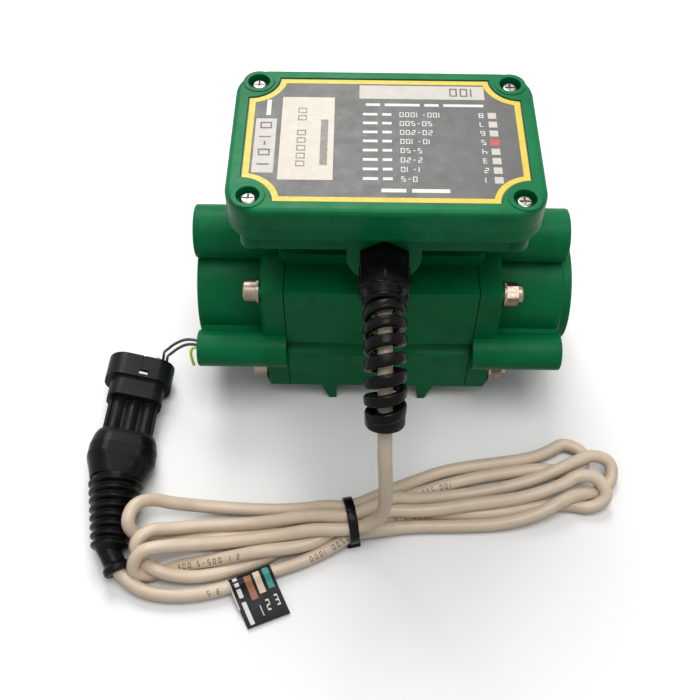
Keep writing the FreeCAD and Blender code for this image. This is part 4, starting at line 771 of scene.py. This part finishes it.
def folded_film():
    way, out = flag_axes()
    section = LOWER_LEAF + UPPER_LEAF
    film = start_editing("flag_film", FLAG_FILM)
    done_editing()
    foot = Vector((FLAG_NEAR.x, FLAG_NEAR.y, 0))
    corners = [foot * MM + (out * o + Vector((0, 0, z))) * MM for o, z in section]
    film.data.from_pydata(corners, [(i, i + 1) for i in range(len(section) - 1)], [])
    edit_again(film)
    bpy.ops.mesh.select_mode(type='VERT')
    stride = (FLAG_FAR - FLAG_NEAR) * MM / FLAG_STEPS
    stride.z = 0
    bpy.ops.mesh.select_all(action='SELECT')
    for _ in range(FLAG_STEPS):
        bpy.ops.mesh.extrude_region_move(TRANSFORM_OT_translate={"value": stride})
    bpy.ops.mesh.select_all(action='SELECT')
    bpy.ops.mesh.normals_make_consistent(inside=False)
    done_editing()
    for corner in film.data.vertices:
        place = corner.co / MM - FLAG_NEAR
        curl = flag_curl(place.dot(way) / (FLAG_FAR - FLAG_NEAR).length, place.dot(out))
        corner.co += (-out * curl + Vector((0, 0, CURL_RISE * curl))) * MM
    use_modifier(film, 'SUBSURF', levels=1, render_levels=1, boundary_smooth='PRESERVE_CORNERS')
    use_modifier(film, 'SOLIDIFY', thickness=FLAG_THICK * MM, offset=0)
    shade_by_angle(film, 40)
    return film


def print_on_flag(name, finish, areas):
    piece = start_editing(name, finish)
    for u0, u1, v0, v1 in areas:
        rows = max(2, int((v1 - v0) * ROWS_OVER_FILM))
        lay_patch(piece, 2, rows, lambda across, up: on_flag(
            u0 + (u1 - u0) * across, v0 + (v1 - v0) * up, INK_OVER_FILM))
    bpy.ops.mesh.select_all(action='SELECT')
    bpy.ops.mesh.normals_make_consistent(inside=False)
    done_editing()
    return piece


def flag_print():
    """Three coloured bands, a pale strip at the near edge, a row of bars and three numerals."""
    pieces = [print_on_flag(name, finish, [area]) for name, finish, area in FLAG_AREAS]
    row = bars((2, 2, 3, 5))
    u, wide, v, long = FLAG_ROW
    long /= row[-1][1]
    strokes = [(u + wide * y0, u + wide * y1, v + long * x0, v + long * x1) for x0, x1, y0, y1 in row]
    wide, tall = FLAG_NUMERAL
    for sign, u, v in FLAG_NUMERALS:
        strokes += [(u + wide * x0, u + wide * x1, v + tall * (1 - y1), v + tall * (1 - y0))
                    for x0, x1, y0, y1 in numerals(sign)]
    pieces.append(print_on_flag("flag_lettering", PRINT_PALE, strokes))
    return pieces


# Twin wire from the lobe's bore to the plug's mouth, and the earth's free end
WIRE_D = 1.2
EARTH_D = 1.1
TWIN_ROUTES = {
    "tag_wire_rear": [(-68.3, -30.4, 38.4), (-74.4, -29.6, 38.9), (-79.4, -28.6, 38.7), (-84.6, -27.6, 34.2),
                      (-89.4, -24.8, 25.8), (-92.4, -20.4, 18.0), (-93.8, -17.8, 12.4), (-94.3, -19.6, 9.6),
                      (-94.3, -23.4, 9.0), (-94.3, -27.0, 8.9)],
    "tag_wire_front": [(-68.3, -31.2, 36.8), (-74.4, -30.6, 37.4), (-79.2, -29.6, 36.6), (-83.6, -28.4, 32.0),
                       (-88.4, -25.2, 23.2), (-91.0, -20.8, 15.8), (-92.4, -18.2, 10.8), (-93.0, -20.0, 8.5),
                       (-93.2, -23.4, 8.0), (-93.2, -27.0, 8.0)],
}
EARTH_ROUTE = [(-70.0, -32.2, 36.9), (-75.4, -32.0, 38.2), (-77.4, -33.0, 37.4), (-77.2, -35.0, 34.4),
               (-76.4, -36.2, 31.2)]


def run_length(cord):
    line = centreline(cord)
    return sum((b - a).length for a, b in zip(line, line[1:])) * MM


# Print along the cable
LETTER_WIDE = 1.5
LETTER_PITCH = 1.4       # letter widths
LETTER_TURN = 24         # degrees round the cable, each side of a letter's middle
PRINT_LIFT = 0.05
PRINT_FACES = Vector((0.0, -0.59, 0.81))                 # up and to the front
# Where each group starts along the cable, and its numerals.
PRINT_RUNS = ((246, ("300", "5-500", "1", "2")), (1344, ("50500", "1000")), (1399, ("3", "5")),
              (497, ("2000", "3-4")), (886, ("100", "500")))


def cable_print(line):
    """Numerals on top of the sheath, in groups, following its surface."""
    reach = [0.0]
    for a, b in zip(line, line[1:]):
        reach.append(reach[-1] + (b - a).length)
    radius = CABLE_D / 2 + PRINT_LIFT

    def on_cable(along, turn):
        i = min(max(next((k for k, r in enumerate(reach) if r > along), len(reach) - 1), 1), len(line) - 1)
        spot = line[i - 1].lerp(line[i], (along - reach[i - 1]) / max(reach[i] - reach[i - 1], 1e-9))
        heading = (line[i] - line[i - 1]).normalized()
        side = heading.cross(PRINT_FACES).normalized()
        up = side.cross(heading).normalized()
        return spot + (up * math.cos(turn) - side * math.sin(turn)) * radius

    def lay_stroke(start, x0, x1, y0, y1):
        lay_patch(piece, 2, 4, lambda across, up: on_cable(
            start + LETTER_WIDE * (x0 + (x1 - x0) * across),
            math.radians(LETTER_TURN * (2 * (y0 + (y1 - y0) * up) - 1))))

    piece = start_editing("cable_print", PRINT_DARK)
    for start, words in PRINT_RUNS:
        for text in words:
            for sign in text:
                for stroke in numerals(sign):
                    lay_stroke(start, *stroke)
                start += LETTER_WIDE * LETTER_PITCH
            start += LETTER_WIDE
    bpy.ops.mesh.select_all(action='SELECT')
    done_editing()
    return piece


# Seams of the centre block
BLOCK_HALF = 30.75
PIPE_HEIGHT = 40.5
SEAM_WIDE, SEAM_DEEP, SEAM_PROUD = 0.34, 0.10, 0.01
SEAM_LENGTH = 2 * BLOCK_HALF - 0.2


def block_seams():
    """The thin shadow lines where the two end caps meet the centre block."""
    seams = start_editing("block_seams", SEAM)
    off = BLOCK_HALF + SEAM_PROUD
    for x in (end[0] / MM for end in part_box("meter_body")):
        for side in (-1, 1):
            add_block((x, side * off, PIPE_HEIGHT), (SEAM_WIDE, SEAM_DEEP, SEAM_LENGTH))
        for side in (-1, 1):
            add_block((x, 0, PIPE_HEIGHT + side * off), (SEAM_WIDE, SEAM_LENGTH, SEAM_DEEP))
    done_editing()
    return seams


# Stage, light and camera
FLOOR_SIZE = 6           # metres, as all of this section
FLOOR_WHITE = 0.90
BOUNCE_GREY = 0.34       # the floor's colour for the light that it throws on the object
SKY = (0.97, 0.985, 1, 1)
SKY_STRENGTH = 0.36
LAMPS = (("rear window", (-0.12, 0.62, 0.86), (0, 0, 0.06), 0.60, 7.4, (1.0, 0.995, 0.98)),
         ("ceiling", (0.10, -0.22, 1.25), (0, -0.03, 0.03), 0.80, 8.2, (1.0, 0.98, 0.95)))


def seen_directly(tree, path):
    """1 for what the camera sees itself, in a gloss or through glass."""
    total = path.outputs["Is Camera Ray"]
    for ray in ("Is Glossy Ray", "Is Transmission Ray"):
        either = tree.nodes.new("ShaderNodeMath")
        either.operation = 'MAXIMUM'
        tree.links.new(total, either.inputs[0])
        tree.links.new(path.outputs[ray], either.inputs[1])
        total = either.outputs[0]
    return total


def lay_floor():
    """A white floor that throws little light back."""
    bpy.ops.mesh.primitive_plane_add(size=FLOOR_SIZE, location=(0, 0, -0.0002))
    floor = bpy.context.object
    floor.name = floor.data.name = "floor"
    white = bpy.data.materials.new("floor white")
    white.use_nodes = True
    tree = white.node_tree
    shader = tree.nodes["Principled BSDF"]
    shader.inputs["Base Color"].default_value = (FLOOR_WHITE, FLOOR_WHITE, FLOOR_WHITE, 1)
    shader.inputs["Roughness"].default_value = 0.9
    shader.inputs["Specular IOR Level"].default_value = 0.1
    bounce = tree.nodes.new("ShaderNodeBsdfDiffuse")
    bounce.inputs["Color"].default_value = (BOUNCE_GREY, BOUNCE_GREY, BOUNCE_GREY, 1)
    path, mix = tree.nodes.new("ShaderNodeLightPath"), tree.nodes.new("ShaderNodeMixShader")
    tree.links.new(seen_directly(tree, path), mix.inputs["Fac"])
    tree.links.new(bounce.outputs[0], mix.inputs[1])
    tree.links.new(shader.outputs[0], mix.inputs[2])
    tree.links.new(mix.outputs[0], tree.nodes["Material Output"].inputs["Surface"])
    floor.data.materials.append(white)


def hang_sky():
    """White where it is seen, and a soft pale light on the object."""
    world = bpy.data.worlds.new("studio")
    bpy.context.scene.world = world
    world.use_nodes = True
    tree = world.node_tree
    tree.nodes.clear()
    out = tree.nodes.new("ShaderNodeOutputWorld")
    seen, lit = tree.nodes.new("ShaderNodeBackground"), tree.nodes.new("ShaderNodeBackground")
    seen.inputs["Color"].default_value = (1, 1, 1, 1)
    lit.inputs["Color"].default_value = SKY
    lit.inputs["Strength"].default_value = SKY_STRENGTH
    mix, path = tree.nodes.new("ShaderNodeMixShader"), tree.nodes.new("ShaderNodeLightPath")
    tree.links.new(seen_directly(tree, path), mix.inputs["Fac"])
    tree.links.new(lit.outputs[0], mix.inputs[1])
    tree.links.new(seen.outputs[0], mix.inputs[2])
    tree.links.new(mix.outputs[0], out.inputs["Surface"])


def hang_lamp(name, place, aim, size, power, colour):
    data = bpy.data.lights.new(name, 'AREA')
    data.shape = 'DISK'
    data.size = size
    data.energy = power
    data.color = colour
    light = bpy.data.objects.new(name, data)
    light.location = place
    light.rotation_euler = (Vector(aim) - Vector(place)).to_track_quat('-Z', 'Y').to_euler()
    bpy.context.collection.objects.link(light)


PHOTO_SIZE = 700         # pixels
FOCAL_PIXELS = 957.02
CENTRE_PIXEL = (355.17, 337.88)
SENSOR = 36              # millimetres
CAMERA_AT = (-0.01265, -0.25544, 0.35019)
CAMERA_DOWN, CAMERA_TURN, CAMERA_ROLL = (math.radians(a) for a in (53.76, 0.3, -0.92))


def photo_camera():
    """The photograph's viewpoint: 54 degrees down, from the cable's side."""
    data = bpy.data.cameras.new("camera")
    data.sensor_width = SENSOR
    data.lens = FOCAL_PIXELS / PHOTO_SIZE * SENSOR
    data.shift_x = -(CENTRE_PIXEL[0] - PHOTO_SIZE / 2) / PHOTO_SIZE
    data.shift_y = (CENTRE_PIXEL[1] - PHOTO_SIZE / 2) / PHOTO_SIZE
    level = math.cos(CAMERA_DOWN)
    ahead = Vector((math.sin(CAMERA_TURN) * level, math.cos(CAMERA_TURN) * level, -math.sin(CAMERA_DOWN)))
    right = Vector((math.cos(CAMERA_TURN), -math.sin(CAMERA_TURN), 0))
    up = right.cross(ahead)
    rolled_right = right * math.cos(CAMERA_ROLL) - up * math.sin(CAMERA_ROLL)
    rolled_up = up * math.cos(CAMERA_ROLL) + right * math.sin(CAMERA_ROLL)
    camera = bpy.data.objects.new("camera", data)
    placed = Matrix((rolled_right, rolled_up, -ahead)).transposed().to_4x4()
    placed.translation = CAMERA_AT
    camera.matrix_world = placed
    data.clip_start = 0.01
    bpy.context.collection.objects.link(camera)
    bpy.context.scene.camera = camera


spiral_nut = gland_nut()
tie_band = cable_tie()
flag_film = folded_film()
flag_bands = flag_print()
print_on_cable = cable_print(centreline(cable))
twins = [spline_along(name, route, WIRE_D, WIRE_GREY, 6) for name, route in TWIN_ROUTES.items()]
earth_end = spline_along("earth_end", EARTH_ROUTE, EARTH_D, WIRE_EARTH, 6)
seams = block_seams()
film = panel_layer("panel_film", FILM, 0.0, PANEL_TOP, FILM_THICK)
border = panel_layer("panel_border", BORDER_YELLOW, BORDER_INSIDE, PANEL_TOP + BORDER_PROUD, COAT_THICK)
ground = panel_layer("panel_ground", FILM, GROUND_INSIDE, PANEL_TOP + GROUND_PROUD, COAT_THICK)
prints = panel_print() + [border, ground]
lay_floor()
hang_sky()
for lamp in LAMPS:
    hang_lamp(*lamp)
photo_camera()

# What each piece rides on and stands for
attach(cable, "root")
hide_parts("cable_lead", "cable_hank", "cable_tail")
for piece, node, slot in ((spiral_nut, "gland_spiral_nut", "gland_black"),
                          (tie_band, "cable_tie", "tie_black"),
                          (flag_film, "cable_flag", "flag_black"),
                          (film, "label_plate", "label_grey")):
    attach(piece, "root")
    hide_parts(node)
for twin, route in zip(twins, TWIN_ROUTES.values()):
    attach(twin, "root")
    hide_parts("tag_wire")
    run_length(twin)
for pieces, slot in ((flag_bands, "flag_black"), ([print_on_cable], "cable"), ([earth_end], "wire_dark"),
                     ([seams], "housing_green"), (prints, "label_grey")):
    for piece in pieces:
        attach(piece, "root")

scene = bpy.context.scene
scene.view_settings.view_transform = 'Standard'
